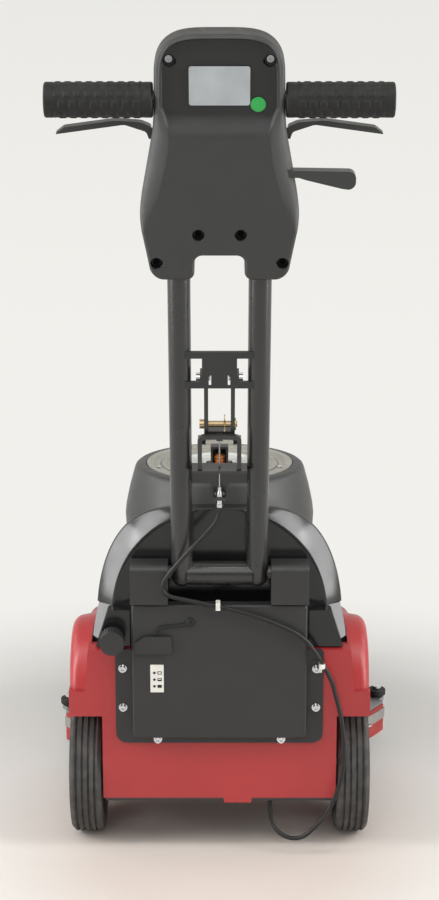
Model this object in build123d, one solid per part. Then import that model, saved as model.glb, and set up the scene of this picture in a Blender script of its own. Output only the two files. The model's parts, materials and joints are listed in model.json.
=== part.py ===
from build123d import *
import os
from math import cos, pi, radians, sin, tan

# Compact walk-behind floor scrubber, in millimetres.
# X points right as seen from behind, Y forward and Z up.
# The origin lies on the floor, under the centre of the scrubbing pad.

# Fits
running_gap = 0.05
slide_gap = 0.3
part_gap = 1.0

# Wheels and axle
wheel_radius = 100.0
wheel_width = 44.0
wheel_gap = 3.0
wheel_proud = 2.0
rim_radius = 68.0
rim_wall = 8.0
hub_width = 26.0
hub_web = 8.0
hub_bore_wall = 9.0
hub_holes = 6
hub_hole_radius = 11.0
tread_depth = 2.5
tread_width = 3.0
tread_grooves = 4
tyre_edge = 5.0
axle_radius = 8.0
axle_y = -345.0
axle_setback = 4.0
axle_cap_radius = 15.0
axle_cap_width = 6.0

# Chassis shell
body_half_width = 205.0
rear_overhang = 95.0
box_front_reach = 55.0
box_bottom_z = 83.0
arch_gap = 3.0
ledge_height = 36.0
ledge_end_y = -150.0
ledge_waist_z = 203.0
ledge_nose_z = 172.0
ledge_bend = 150.0
tub_inset = 21.0
tub_lean = 8.0
tub_height = 77.0
# Distance from the rear and drop below the tub's top, along its rim
tub_rim = (
    (-8.0, 20.0),
    (10.0, 14.0),
    (50.0, 3.0),
    (100.0, 0.0),
    (150.0, 12.0),
    (210.0, 36.0),
    (300.0, 50.0),
    (385.0, 58.0),
    (510.0, 90.0),
)
tub_nose_height = 26.0
fender_radius = 87.0
fender_draft = 7.0
fender_width = 35.0
fender_setback = 7.0
fender_drop = 7.0
fender_round = 16.0
underbody_z = 152.0
chassis_wall = 6.0
bay_side = 40.0
bay_floor_z = 116.0
bay_rear_wall = 11.0
rear_wall_top_z = 302.0
undertray_thickness = 4.0
undertray_margin = 3.0
tab_x = 6.0
tab_width = 38.0
tab_height = 7.0
tab_thickness = 4.0

# Pad, brush deck and motors
pad_radius = 190.0
pad_recess_radius = 40.0
pad_recess_depth = 10.0
pad_thickness = 25.0
driver_radius = 180.0
driver_thickness = 12.0
driver_hub_radius = 36.0
driver_hub_height = 30.0
shaft_radius = 12.0
deck_radius = 203.0
deck_wall = 5.0
deck_bottom_z = 45.0
deck_top_z = 131.0
deck_round = 8.0
deck_boss_radius = 180.0
deck_boss_wall = 8.0
motor_radius = 52.0
motor_height = 84.0
gearbox_height = 34.0
vacuum_radius = 55.0
vacuum_can_radius = 38.5
vacuum_height = 84.0
vacuum_fan_height = 40.0
vacuum_y = -112.0

# Batteries
battery_gap = 2.0
battery_headroom = 12.0
terminal_radius = 7.0
terminal_spacing = 60.0

# Tanks
tank_inset = 25.0
tank_length = 385.0
tank_straight = 50.0
# Share of the falling length, share of the full width and drop of the shoulders
tank_nose = (
    (0.0, 1.0, 0.0),
    (0.12, 1.0, 12.0),
    (0.26, 1.0, 30.0),
    (0.58, 1.0, 36.0),
    (0.71, 0.985, 45.0),
    (0.83, 0.93, 66.0),
    (0.94, 0.84, 104.0),
    (1.0, 0.74, 138.0),
)
tank_base_half_width = 176.0
tank_waist_half_width = 172.0
tank_top_half_width = 141.0
tank_base_z = 245.0
tank_waist_rise = 75.0
tank_waist_radius = 200.0
tank_corner_z = 459.5
tank_corner_radius = 30.0
tank_crown = 64.5
tank_crown_radius = 300.0
tank_face_radius = 145.0
tank_face_z = 346.0
tank_face_spring = 4.4
tank_foot_half_width = 171.0
tank_foot_z = 290.0
tank_bevel_depth = 32.0
tank_bevel_reach = 40.0
tank_step_inner_x = 121.0
tank_step_top_x = 150.5
tank_step_foot_x = 167.0
tank_step_setback = 3.0
tank_wall = 5.0
tank_seam_z = 354.0
neck_y = -255.0
neck_top_z = 515.0
neck_top_radius = 120.5
neck_base_radius = 137.0
neck_base_z = 437.0
neck_round = 7.0
mouth_radius = 90.0

# Lid
lid_radius = 103.0
lid_thickness = 5.0
lid_recess = 7.0
lid_ridge = 3.0
lid_rim = 7.0
lid_rim_slope = 3.0
lid_ring_insets = (20.5, 44.0)
lid_ring_width = 7.0
lid_ring_slope = 2.0
hinge_reach = 131.0
hinge_pin_radius = 3.0
hinge_barrel_radius = 7.0
hinge_barrel_half = 20.0
hinge_lug_width = 12.0
cage_width = 25.0
cage_depth = 20.0
cage_height = 26.0
cage_bar = 3.0
float_radius = 8.0
float_ribs = 3
float_rib = 2.2
float_groove = 2.0
lid_screw_radius = 3.5
lid_screw_height = 2.5
lid_screw_x = 84.5
lid_screw_setback = 29.0

# Rear cover
cover_margin = 19.0
cover_flange_width = 23.5
cover_bottom_z = 166.0
cover_box_bottom_z = 178.0
cover_top_z = 368.0
cover_depth = 17.0
cover_flange = 3.5
cover_wall = 3.0
cover_corner = 15.0
cover_box_corner = 6.0
screw_radius = 3.0
screw_length = 9.0
screw_head_radius = 4.2
screw_head_height = 5.0
washer_radius = 5.8
washer_thickness = 1.5
screw_edge = 10.0
screw_bottom_x = 84.0
screw_upper_z = 274.0
screw_middle_z = 218.0
screw_bottom_z = 171.8

# Charge socket, indicator and flow valve on the back
socket_inset = 33.5
socket_z = 313.0
socket_radius = 9.0
socket_pin_length = 5.0
socket_panel_width = 36.0
socket_panel_height = 20.0
flap_width = 40.0
flap_height = 24.0
flap_thickness = 4.0
flap_wing = 9.0
flap_notch = 4.0
flap_corner = 3.0
indicator_width = 18.0
indicator_height = 39.0
indicator_z = 264.5
indicator_thickness = 1.0
knob_x = -143.7
knob_z = 318.0
knob_radius = 16.4
knob_length = 24.0
knob_stem_radius = 8.0
knob_reach = 31.0
knob_flutes = 24

# Handle
handle_lean = 13.6
hinge_z = 408.0
tube_radius = 14.3
tube_wall = 2.0
tube_spacing = 100.0
tube_foot = 19.0
pivot_tube_bite = 8.0
tube_top = 640.0
pivot_radius = 6.0
pivot_collar_radius = 10.0
pivot_tube_radius = 16.0
pivot_block_gap = 4.5
pivot_block_width = 50.5
pivot_block_top_z = 423.0
pivot_block_rear = 22.0
pivot_block_round = 8.0
pivot_block_heel = 2.0
grip_height = 645.0
bar_radius = 11.0
grip_radius = 21.3
grip_collar_radius = 20.7
grip_collar_width = 10.5
grip_outer_x = 205.0
grip_inner_x = 78.0
grip_end_wall = 4.0
grip_step = 2.0

# Console
console_top = 726.0
console_fold = 616.0
console_widest = 508.0
console_bottom = 426.0
console_notch_top = 457.0
console_top_half_width = 75.0
console_fold_half_width = 77.5
console_widest_half_width = 97.5
console_bottom_half_width = 82.0
console_notch_half_width = 30.5
console_rear_depth = 20.0
console_front_depth = 36.0
console_front_taper = 5.0
console_hump = 5.0
console_corners = (41.0, 50.0, 110.0, 16.0, 10.0)
console_notch_corner = 9.0
hump_top = 642.0
hump_top_half = 70.5
hump_shoulder = 596.0
hump_shoulder_half = 75.0
hump_bottom = 468.0
hump_bottom_half = 88.0
hump_corners = (12.0, 40.0, 16.0)
hump_flank = 62.0
hump_start = 638.0
hump_crest = 606.0
hump_end = 484.0
hump_crest_round = 40.0
console_wall = 3.0
console_rear_round = 5.5
console_front_round = 6.0
head_recess = 4.0
head_rim = 8.0
head_foot = 12.0
head_corners = (33.0, 8.0)
plate_width = 71.0
plate_height = 46.0
plate_drop = 60.0
plate_thickness = 0.6
plate_corner = 3.0
upper_screw_x = 58.7
upper_screw_height = 697.0
middle_screw_x = 25.5
middle_screw_height = 484.0
lower_screw_x = 76.5
lower_screw_height = 448.0
console_boss_radius = 9.5
upper_well_radius = 5.8
console_well_radius = 6.9
console_screw_radius = 2.0
console_head_radius = 4.2
console_head_height = 2.5
console_cross_half = 2.6
console_cross_slot = 1.2

# Controls
paddle_depth = 12.0
paddle_shaft_radius = 6.0
paddle_shaft_length = 22.0
paddle_pivot_y = 18.0
paddle_pivot_height = 600.0
paddle_root = 3.5
# Distance from the paddle's root, height over its shaft and corner radius
paddle_points = (
    (0.0, -6.0, 1.0),
    (0.0, 8.8, 4.0),
    (12.0, 14.2, 20.0),
    (43.0, 16.5, 60.0),
    (104.0, 8.0, 8.0),
    (115.0, -0.5, 0.6),
    (32.0, 11.2, 14.0),
    (6.0, 2.5, 6.0),
    (3.0, -6.0, 1.0),
)
release_height = 560.0
release_pivot_x = 75.0
release_pin_radius = 3.0
release_hub_radius = 8.0
# Distance from the lever's pin, height over it and corner radius
release_points = (
    (0.0, -5.0, 0.0),
    (0.0, 4.0, 0.0),
    (87.0, 2.5, 9.0),
    (87.0, -21.0, 9.0),
    (70.0, -18.5, 12.0),
    (27.0, -7.7, 15.0),
    (19.0, -5.0, 6.0),
)
release_thickness = 13.0
release_y = -9.5
release_travel = 18.0
rocker_width = 16.0
rocker_length = 24.0
rocker_depth = 9.0
rocker_proud = 3.0
rocker_tilt = 7.0
rocker_round = 2.0
rocker_spacing = 44.0
rocker_height = 560.0

# Squeegee lift on the handle
brace_setback = 13.0
brace_sheet = 3.0
brace_bar_depth = 4.5
brace_bar_height = 9.0
brace_web_half = 22.0
brace_ear = 4.0
brace_web_inset = 2.0
brace_slot_inner_x = 10.5
brace_slot_outer_x = 13.5
brace_slot_bottom = 281.0
brace_slot_top = 296.0
brace_bottom = 278.0
brace_top = 328.0
bolt_radius = 4.0
bolt_head_radius = 6.5
bolt_head_height = 5.0
bolt_height = 287.5
bolt_overhang = 3.0
link_inner_x = 14.4
link_outer_x = 19.6
link_depth = 14.0
link_bottom = 209.5
link_plate = 5.0
link_eye = 7.0
link_round = 6.0
bail_half_width = 28.0
bail_bar = 5.5
bail_y = -13.75
bail_top = 213.0
bail_foot = 160.0
bail_lug_half = 4.0
bail_lug_drop = 2.0
bail_bend = 8.0
clevis_height = 222.0
clevis_radius = 4.0
clevis_head = 6.0
clevis_head_flange = 2.0
clevis_tail = 3.0
clevis_washer = 4.0
clevis_clip_x = 6.5
wire_radius = 1.0
lip_bottom = 159.5
lip_top = 163.5
lip_reach = 19.0
bracket_sheet = 4.0
bracket_bottom = 136.0
bracket_tab_half = 12.0
bracket_tab_tip = 6.0
bracket_tab_taper = 8.0
bracket_tab_bottom = 108.0
bracket_shelf_half = 8.0
bracket_shelf_reach = 7.0
adjuster_seat = 120.5
adjuster_top = 135.5
adjuster_bottom = 106.5
adjuster_radius = 3.0
adjuster_neck_radius = 2.4
adjuster_nut_radius = 6.0
adjuster_nut_height = 5.0
adjuster_thread = 2.0
ferrule_radius = 4.5
ferrule_length = 5.0
adjuster_y = -9.0

# Lift cable
cable_radius = 3.0
clip_thickness = 1.5
clip_band = 6.0
clip_wall = 2.5
clip_neck = 2.0
tie_x = -2.0
tie_width = 6.0
tie_reach = 14.0
tie_seat = 11.0
tie_sheet = 2.0
tie_drop = 3.0
tie_height = 8.0
tie_gap = 2.0
stop_radius = 6.0

# Squeegee
squeegee_lift = 46.0
squeegee_swing = 4.4
squeegee_vertex = 236.0
squeegee_end_x = 250.0
squeegee_end_y = -80.0
squeegee_half_depth = 18.0
squeegee_height = 30.0
squeegee_clearance = 16.0
squeegee_skin = 6.0
squeegee_half_turn = 56.5
blade_half_turn = 55.5
squeegee_end_turn = 2.0
blade_thickness = 3.2
blade_height = 42.0
strap_thickness = 2.0
strap_height = 16.0
strap_drop = 4.0
roller_radius = 13.6
roller_thickness = 10.0
roller_bolt_radius = 4.0
roller_turn = 60.0
roller_lug_radius = 11.0
roller_round = 2.0
roller_head_flange = 3.0
roller_head_height = 4.0
spigot_radius = 19.0
spigot_height = 36.0
ring_outer_radius = 212.0
ring_thickness = 13.0
arm_half_width = 64.0
post_radius = 6.0
post_x = 46.0
post_bottom_z = 22.0
nut_turns = (-42.0, -18.0, 18.0, 42.0)
nut_radius = 5.0
nut_length = 9.0
nut_wing_half = 14.0
nut_wing_depth = 3.0
nut_wing_sheet = 3.0
nut_sink = 0.4

# Worked out from the sizes above
rear_y = axle_y - rear_overhang
box_half_width = body_half_width - wheel_width - wheel_gap + wheel_proud
box_front_y = axle_y + box_front_reach
bay_half_width = box_half_width - bay_side
cover_flange_half_width = box_half_width - cover_margin
cover_half_width = cover_flange_half_width - cover_flange_width
screw_side_x = cover_flange_half_width - screw_edge
socket_x = socket_inset - cover_half_width
shoulder_z = 2 * wheel_radius + arch_gap
ledge_z = shoulder_z + ledge_height
tub_top_z = ledge_z + tub_height
tub_half_width = body_half_width - tub_inset
well_front_y = axle_y + wheel_radius + 2 * arch_gap
wheel_inner_x = box_half_width + wheel_gap
wheel_outer_x = wheel_inner_x + wheel_width
tank_rear_y = rear_y + tank_inset
tank_front_y = tank_rear_y + tank_length
tank_step_y = rear_y + tank_step_setback
hinge_y = rear_y
tube_x = tube_spacing / 2
pivot_block_inner_x = tube_x + tube_radius + pivot_block_gap
pivot_block_outer_x = pivot_block_inner_x + pivot_block_width
deck_inner_radius = deck_radius - deck_wall
ring_inner_radius = deck_boss_radius + part_gap
ring_bottom_z = deck_top_z + (underbody_z - deck_top_z - ring_thickness) / 2
ring_top_z = ring_bottom_z + ring_thickness
bay_top_z = tank_base_z - chassis_wall
lid_seat_z = neck_top_z - lid_recess
lid_top_z = lid_seat_z + lid_thickness
lid_hinge_y = neck_y + hinge_reach
lid_hinge_z = neck_top_z + slide_gap + lid_ridge / 2
cover_face_y = rear_y - cover_depth
flange_face_y = rear_y - cover_flange
plate_middle = console_top - plate_drop
squeegee_sag = squeegee_vertex + squeegee_end_y
squeegee_radius = (squeegee_end_x**2 + squeegee_sag**2) / (2 * squeegee_sag)
squeegee_centre_y = squeegee_radius - squeegee_vertex
squeegee_bottom_z = squeegee_clearance + squeegee_lift
squeegee_top_z = squeegee_bottom_z + squeegee_height
handle_frame = Location((0, hinge_y, hinge_z), (handle_lean, 0, 0))
everywhere = (-900, 900)
sides = {"left": -1, "right": 1}

# Route of the lift cable, from the adjuster on the handle to the stop under the tray.
upper_route = [
    (0, -473.7, 509.1),
    (0, -469.5, 491.6),
    (-20, -471, 469),
    (-37, -472, 451),
    (-57, -471, 428),
    (-71, -469, 410),
    (-76.5, -468, 398.5),
    (-74, -467, 388),
    (-64, -466, 382.5),
    (-46, -465.5, 378.5),
    (-21, -465, 373),
    (16, -465, 365),
    (46, -465, 356),
    (72, -464, 346),
    (103, -463, 331),
    (122, -461, 314),
    (136.5, -458, 288.5),
]
lower_route = [
    (136.5, -458, 288.5),
    (151, -455, 263),
    (157, -454, 238),
    (164, -455, 213),
    (168, -457, 185),
    (170, -459, 156),
    (168, -459, 126),
    (159, -458, 93),
    (146, -456, 65),
    (132, -453.5, 46),
    (115, -450, 28),
    (97, -444.5, 24),
    (80, -437, 30.5),
    (70, -426, 46),
    (70, -426, 75),
]


def block(x_span, y_span, z_span):
    """Box that fills three low and high spans."""
    spans = (x_span, y_span, z_span)
    centre = [(low + high) / 2 for low, high in spans]
    size = [high - low for low, high in spans]
    return Pos(*centre) * Box(*size)


def above(height):
    """Everything over a height."""
    return block(everywhere, everywhere, (height, everywhere[1]))


def rod(axis, span, across, radius):
    """Round bar along X, Y or Z; across places it on the two other axes."""
    length = span[1] - span[0]
    middle = (span[0] + span[1]) / 2
    if axis == "X":
        return Pos(middle, across[0], across[1]) * Rot(0, 90, 0) * Cylinder(radius, length)
    if axis == "Y":
        return Pos(across[0], middle, across[1]) * Rot(90, 0, 0) * Cylinder(radius, length)
    return Pos(across[0], across[1], middle) * Cylinder(radius, length)


def slab_xy(face, z_span):
    """Face drawn in X and Y, thickened over a span of Z."""
    return extrude(Plane.XY.offset(z_span[0]) * face, z_span[1] - z_span[0])


def slab_xz(face, y_span):
    """Face drawn in X and Z, thickened over a span of Y."""
    return extrude(Plane.XZ.offset(-y_span[0]) * face, -(y_span[1] - y_span[0]))


def slab_yz(face, x_span):
    """Face drawn in Y and Z, thickened over a span of X."""
    return extrude(Plane.YZ.offset(x_span[0]) * face, x_span[1] - x_span[0])


def outline(points, radii):
    """Closed face through points, with one corner radius for each."""
    return make_face(FilletPolyline(*points, radius=radii, close=True).edges())


def mirrored_outline(points, radii):
    """Outline that is symmetric in its first coordinate, from its right half."""
    left = [(-across, along) for across, along in reversed(points)]
    return outline(points + left, radii + radii[::-1])


def rounded_panel(half_width, z_span, radius):
    """Upright rectangle with round corners, centred in X."""
    return mirrored_outline([(half_width, z_span[0]), (half_width, z_span[1])], [radius, radius])


def turned_z(points, axis_y):
    """Solid of revolution about a vertical axis at axis_y, from radius and height points."""
    profile = make_face(Polyline(*points, close=True).edges())
    return Pos(0, axis_y, 0) * revolve(Plane.XZ * profile, Axis.Z)


def turned_x(points):
    """Solid of revolution about the X axis, from distance and radius points."""
    profile = make_face(Polyline(*points, close=True).edges())
    return revolve(Plane.XY * profile, Axis.X)


def pair(solid):
    """A solid and its mirror image on the left."""
    return Compound(children=[solid, mirror(solid, Plane.YZ)])


def on_handle(shape):
    """Shape drawn along the handle, set at the handle's hinge and lean."""
    return handle_frame * shape


# Chassis


def bullet(half_width, rear, rear_half_width, corner_y):
    """Plan outline with a round nose about the pad's axis and a narrower tail."""
    edges = [
        Line((-rear_half_width, rear), (rear_half_width, rear)),
        Line((rear_half_width, rear), (half_width, corner_y)),
        Line((half_width, corner_y), (half_width, 0)),
        RadiusArc((half_width, 0), (-half_width, 0), -half_width),
        Line((-half_width, 0), (-half_width, corner_y)),
        Line((-half_width, corner_y), (-rear_half_width, rear)),
    ]
    return make_face(edges)


def tub_side():
    """Side view of the tub round the tanks, closed below the body."""
    rim = [(rear_y + along, tub_top_z - drop) for along, drop in tub_rim]
    crest = Spline(*rim, (body_half_width + tub_lean, underbody_z + tub_nose_height))
    nose = crest @ 1
    tail = crest @ 0
    base = Polyline(nose, (nose.X, 0), (tail.X, 0), tail)
    return make_face(crest.edges() + base.edges())


def ledge_side():
    """Side view of the ledge round the body, which falls towards the nose."""
    nose_y = body_half_width + tub_lean
    tail_y = rear_y - tub_lean
    points = [
        (tail_y, 0),
        (nose_y, 0),
        (nose_y, ledge_nose_z),
        (0, ledge_waist_z),
        (ledge_end_y, ledge_z),
        (tail_y, ledge_z),
    ]
    return outline(points, [0, 0, 0, ledge_bend, ledge_bend, 0])


def fender(side):
    """Mudguard over one wheel: part of a round drum with a rounded outer edge."""
    inner_x = body_half_width - fender_width
    centre = (axle_y - fender_setback, ledge_z - fender_drop)
    drum = loft(
        [
            Plane.YZ.offset(inner_x) * Pos(*centre) * Circle(fender_radius),
            Plane.YZ.offset(body_half_width) * Pos(*centre) * Circle(fender_radius - fender_draft),
        ]
    )
    drum = fillet(drum.faces().sort_by(Axis.X)[-1].edges(), fender_round)
    guard = drum & above(shoulder_z)
    return guard if side > 0 else mirror(guard, Plane.YZ)


def chassis_form():
    """Outer form of the red body before it is hollowed."""
    corner_y = rear_y + chassis_wall
    plan = bullet(body_half_width, rear_y, body_half_width, corner_y)
    skirt = slab_xy(plan, (underbody_z, ledge_z)) & slab_yz(ledge_side(), everywhere)
    foot = bullet(tub_half_width, rear_y, tub_half_width, corner_y)
    rim = bullet(tub_half_width - tub_lean, rear_y, tub_half_width - tub_lean, corner_y)
    stations = ((underbody_z, foot), (ledge_z, foot), (tub_top_z, rim))
    tub = loft([Plane.XY.offset(z) * face for z, face in stations], ruled=True)
    form = skirt + (tub & slab_yz(tub_side(), everywhere))
    for side in sides.values():
        well_x = sorted((side * box_half_width, side * everywhere[1]))
        form -= block(well_x, (everywhere[0], well_front_y), (0, shoulder_z))
        form += fender(side)
    return form + block((-box_half_width, box_half_width), (rear_y, box_front_y), (box_bottom_z, ledge_z))


def tank_section(shrink, share=1.0, drop=0.0):
    """Arched cross-section of the tanks in X and Z; shrink moves its sides and top inwards."""
    ratio = share * (tank_top_half_width - shrink) / tank_top_half_width
    corner_z = tank_corner_z - shrink - drop
    rise = (corner_z - tank_base_z) / (tank_corner_z - tank_base_z)
    right = [
        ((tank_base_half_width - shrink) * share, tank_base_z),
        ((tank_waist_half_width - shrink) * share, tank_base_z + tank_waist_rise * rise),
        (tank_top_half_width * ratio, corner_z),
    ]
    left = [(-across, along) for across, along in reversed(right)]
    waist = tank_waist_radius * ratio
    corner = tank_corner_radius * ratio
    apex = (0.0, corner_z + tank_crown * ratio)
    radii = [0, waist, corner, tank_crown_radius * ratio, corner, waist, 0]
    return outline(right + [apex] + left, radii)


def tank_form(shrink):
    """Body of both tanks: a short arched barrel whose shoulders fall towards a rounded nose."""
    straight_y = tank_rear_y + tank_straight
    nose = tank_front_y - shrink - straight_y
    barrel = slab_xz(tank_section(shrink), (tank_rear_y + shrink, straight_y))
    sections = [
        Plane.XZ.offset(-(straight_y + along * nose)) * tank_section(shrink, share, drop)
        for along, share, drop in tank_nose
    ]
    return barrel + loft(sections)


def neck_form(shrink):
    """Cone that carries the lid."""
    points = [
        (0, tank_base_z),
        (neck_base_radius - shrink, tank_base_z),
        (neck_base_radius - shrink, neck_base_z),
        (neck_top_radius - shrink, neck_top_z),
        (0, neck_top_z),
    ]
    cone = turned_z(points, neck_y)
    return fillet(cone.faces().sort_by(Axis.Z)[-1].edges(), neck_round)


def tank_rear_face(grow):
    """Rear face of the tanks: a round arch on splayed feet; grow moves its edge outwards."""
    radius = tank_face_radius + grow
    foot = tank_foot_half_width + grow
    spring_x = radius * cos(radians(tank_face_spring))
    spring_z = tank_face_z + radius * sin(radians(tank_face_spring))
    edges = [
        Line((-foot, tank_base_z), (foot, tank_base_z)),
        Line((foot, tank_base_z), (foot, tank_foot_z)),
        Line((foot, tank_foot_z), (spring_x, spring_z)),
        ThreePointArc((spring_x, spring_z), (0, tank_face_z + radius), (-spring_x, spring_z)),
        Line((-spring_x, spring_z), (-foot, tank_foot_z)),
        Line((-foot, tank_foot_z), (-foot, tank_base_z)),
    ]
    return make_face(edges)


def bevelled_tank_form(shrink):
    """Body of both tanks with the wide bevel round its rear face."""
    start = tank_rear_y + shrink
    end = start + tank_bevel_depth
    inset = shrink * tank_bevel_reach / tank_bevel_depth
    taper = loft(
        [
            Plane.XZ.offset(-start) * tank_rear_face(-inset),
            Plane.XZ.offset(-end) * tank_rear_face(tank_bevel_reach - inset),
        ],
        ruled=True,
    )
    form = tank_form(shrink)
    ahead = block(everywhere, (end, everywhere[1]), everywhere)
    return (form & taper) + (form & ahead)


def chassis_shell():
    """Red moulded body: wheel boxes, fenders, tank tub, battery bay and motor bay."""
    pocket = tank_form(-part_gap) & above(tank_base_z)
    notch = slab_xz(tank_section(-part_gap), (rear_y - tank_inset, tank_rear_y)) & above(rear_wall_top_z)
    bay_x = (-bay_half_width, bay_half_width)
    outside_y = rear_y - tank_inset
    bay = block(bay_x, (rear_y + bay_rear_wall, box_front_y - chassis_wall), (bay_floor_z, tank_base_z))
    hatch_half = cover_half_width - 2 * cover_wall
    hatch_y = (outside_y, tank_rear_y - part_gap - chassis_wall)
    hatch_z = (cover_box_bottom_z + 2 * cover_wall, rear_wall_top_z - chassis_wall)
    hatch = block((-hatch_half, hatch_half), hatch_y, hatch_z)
    inner_half = body_half_width - chassis_wall
    inner_rear = well_front_y + chassis_wall
    inner_plan = bullet(inner_half, inner_rear, inner_half, inner_rear + chassis_wall)
    inner = slab_xy(inner_plan, (underbody_z + chassis_wall, bay_top_z))
    inner &= Pos(0, 0, -2 * chassis_wall) * slab_yz(ledge_side(), everywhere)
    room_half = tub_half_width - 2 * chassis_wall
    room_plan = bullet(room_half, inner_rear, room_half, inner_rear + chassis_wall)
    room = slab_xy(room_plan, (underbody_z + chassis_wall, bay_top_z))
    inner += room & (Pos(0, 0, -2 * chassis_wall) * slab_yz(tub_side(), everywhere))
    mouth_z = (underbody_z - chassis_wall, underbody_z + 2 * chassis_wall)
    mouth = rod("Z", mouth_z, (0, 0), deck_boss_radius - deck_boss_wall)
    bore = rod("X", everywhere, (axle_y, wheel_radius), axle_radius)
    tab_z = (box_bottom_z - tab_height, box_bottom_z)
    tab = block((tab_x, tab_x + tab_width), (rear_y, rear_y + tab_thickness), tab_z)
    shell = chassis_form() - pocket - notch - bay - hatch - inner - mouth - bore + tab
    for x, z in cover_screw_places():
        shell -= rod("Y", (rear_y, rear_y + screw_length), (x, z), screw_radius)
    return shell


def undertray():
    """Black plate under the battery box, notched round the tab, with the lift cable's stop."""
    half = box_half_width - undertray_margin
    z_span = (box_bottom_z - undertray_thickness, box_bottom_z)
    plate = block((-half, half), (rear_y, box_front_y - undertray_margin), z_span)
    notch_x = (tab_x - part_gap, tab_x + tab_width + part_gap)
    plate -= block(notch_x, (rear_y, rear_y + tab_thickness + part_gap), z_span)
    stop_x, stop_y, stop_z = lower_route[-1]
    return plate + rod("Z", (stop_z, z_span[1]), (stop_x, stop_y), stop_radius)


def axle():
    """Through axle that carries both wheels."""
    reach = wheel_outer_x - axle_setback
    return rod("X", (-reach, reach), (axle_y, wheel_radius), axle_radius)


def axle_caps():
    """Push-on caps that keep the wheels on the axle."""
    start = wheel_inner_x + (wheel_width + hub_width) / 2 + slide_gap
    cap = rod("X", (start, start + axle_cap_width), (axle_y, wheel_radius), axle_cap_radius)
    return pair(cap - rod("X", everywhere, (axle_y, wheel_radius), axle_radius))


def at_wheel(side, shape):
    """Shape drawn about the X axis, set at a wheel's centre."""
    return Pos(side * (wheel_inner_x + wheel_width / 2), axle_y, wheel_radius) * shape


def tyre(side):
    """Solid rubber tyre with grooves round its tread."""
    half = wheel_width / 2
    seat = hub_width / 2
    flank = wheel_radius - tyre_edge
    bead = rim_radius + rim_wall
    tread = half - tyre_edge
    crown = [(-half, flank), (-tread, wheel_radius), (tread, wheel_radius), (half, flank)]
    inside = [(half, bead), (seat, rim_radius), (-seat, rim_radius), (-half, bead)]
    body = turned_x(crown + inside)
    pitch = (wheel_width - 2 * tyre_edge) / tread_grooves
    for number in range(tread_grooves):
        middle = (number - (tread_grooves - 1) / 2) * pitch
        groove_x = (middle - tread_width / 2, middle + tread_width / 2)
        groove = rod("X", groove_x, (0, 0), wheel_radius + tread_depth)
        body -= groove - rod("X", everywhere, (0, 0), wheel_radius - tread_depth)
    return at_wheel(side, body)


def hub(side):
    """Wheel hub: a rim, a web with lightening holes and a bored boss."""
    width = (-hub_width / 2, hub_width / 2)
    boss = axle_radius + hub_bore_wall
    inside = rim_radius - rim_wall
    rim = rod("X", width, (0, 0), rim_radius) - rod("X", width, (0, 0), inside)
    body = rim + rod("X", (-hub_web / 2, hub_web / 2), (0, 0), inside) + rod("X", width, (0, 0), boss)
    circle = (boss + inside) / 2
    for number in range(hub_holes):
        turn = 2 * pi * number / hub_holes
        body -= rod("X", width, (circle * cos(turn), circle * sin(turn)), hub_hole_radius)
    return at_wheel(side, body - rod("X", everywhere, (0, 0), axle_radius + running_gap))


# Pad, deck and motors


def scrub_pad():
    """Round floor pad with a centring recess in its top."""
    pad = rod("Z", (0, pad_thickness), (0, 0), pad_radius)
    return pad - rod("Z", (pad_thickness - pad_recess_depth, pad_thickness), (0, 0), pad_recess_radius)


def pad_driver():
    """Disc that drives the pad, with its hub and the shaft of the gear motor."""
    top = pad_thickness + driver_thickness
    disc = rod("Z", (pad_thickness, top), (0, 0), driver_radius)
    disc += rod("Z", (top, top + driver_hub_height), (0, 0), driver_hub_radius)
    return disc + rod("Z", (top, underbody_z), (0, 0), shaft_radius)


def brush_deck():
    """Round housing over the pad, with the boss that carries the swing ring."""
    housing = rod("Z", (deck_bottom_z, deck_top_z), (0, 0), deck_radius)
    housing = fillet(housing.edges().group_by(Axis.Z)[-1], deck_round)
    housing -= rod("Z", (0, deck_top_z - deck_wall), (0, 0), deck_inner_radius)
    boss_z = (deck_top_z, underbody_z)
    boss = rod("Z", boss_z, (0, 0), deck_boss_radius)
    boss -= rod("Z", boss_z, (0, 0), deck_boss_radius - deck_boss_wall)
    return housing + boss - rod("Z", (0, underbody_z), (0, 0), shaft_radius + part_gap)


def gear_motor():
    """Brush motor with its gearbox, standing on the deck."""
    gearbox_top = deck_top_z + gearbox_height
    gearbox = rod("Z", (deck_top_z, gearbox_top), (0, 0), motor_radius)
    can = rod("Z", (gearbox_top, deck_top_z + motor_height), (0, 0), motor_radius - chassis_wall)
    return gearbox + can - rod("Z", (0, underbody_z + part_gap), (0, 0), shaft_radius + running_gap)


def vacuum_motor():
    """Suction fan and motor, standing on the deck behind the gear motor."""
    fan_top = deck_top_z + vacuum_fan_height
    fan = rod("Z", (deck_top_z, fan_top), (0, vacuum_y), vacuum_radius)
    return fan + rod("Z", (fan_top, deck_top_z + vacuum_height), (0, vacuum_y), vacuum_can_radius)


def batteries():
    """Two sealed batteries side by side in the bay."""
    depth = (rear_y + bay_rear_wall + battery_gap, box_front_y - chassis_wall - battery_gap)
    case_top = bay_top_z - battery_headroom
    terminal_z = (case_top, case_top + battery_headroom / 2)
    cells = []
    for side in sides.values():
        x_span = sorted((side * battery_gap, side * (bay_half_width - battery_gap)))
        case = block(x_span, depth, (bay_floor_z, case_top))
        middle = sum(x_span) / 2
        for offset in (-terminal_spacing / 2, terminal_spacing / 2):
            case += rod("Z", terminal_z, (middle + offset, sum(depth) / 2), terminal_radius)
        cells.append(case)
    return Compound(children=cells)


# Tanks and lid


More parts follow.
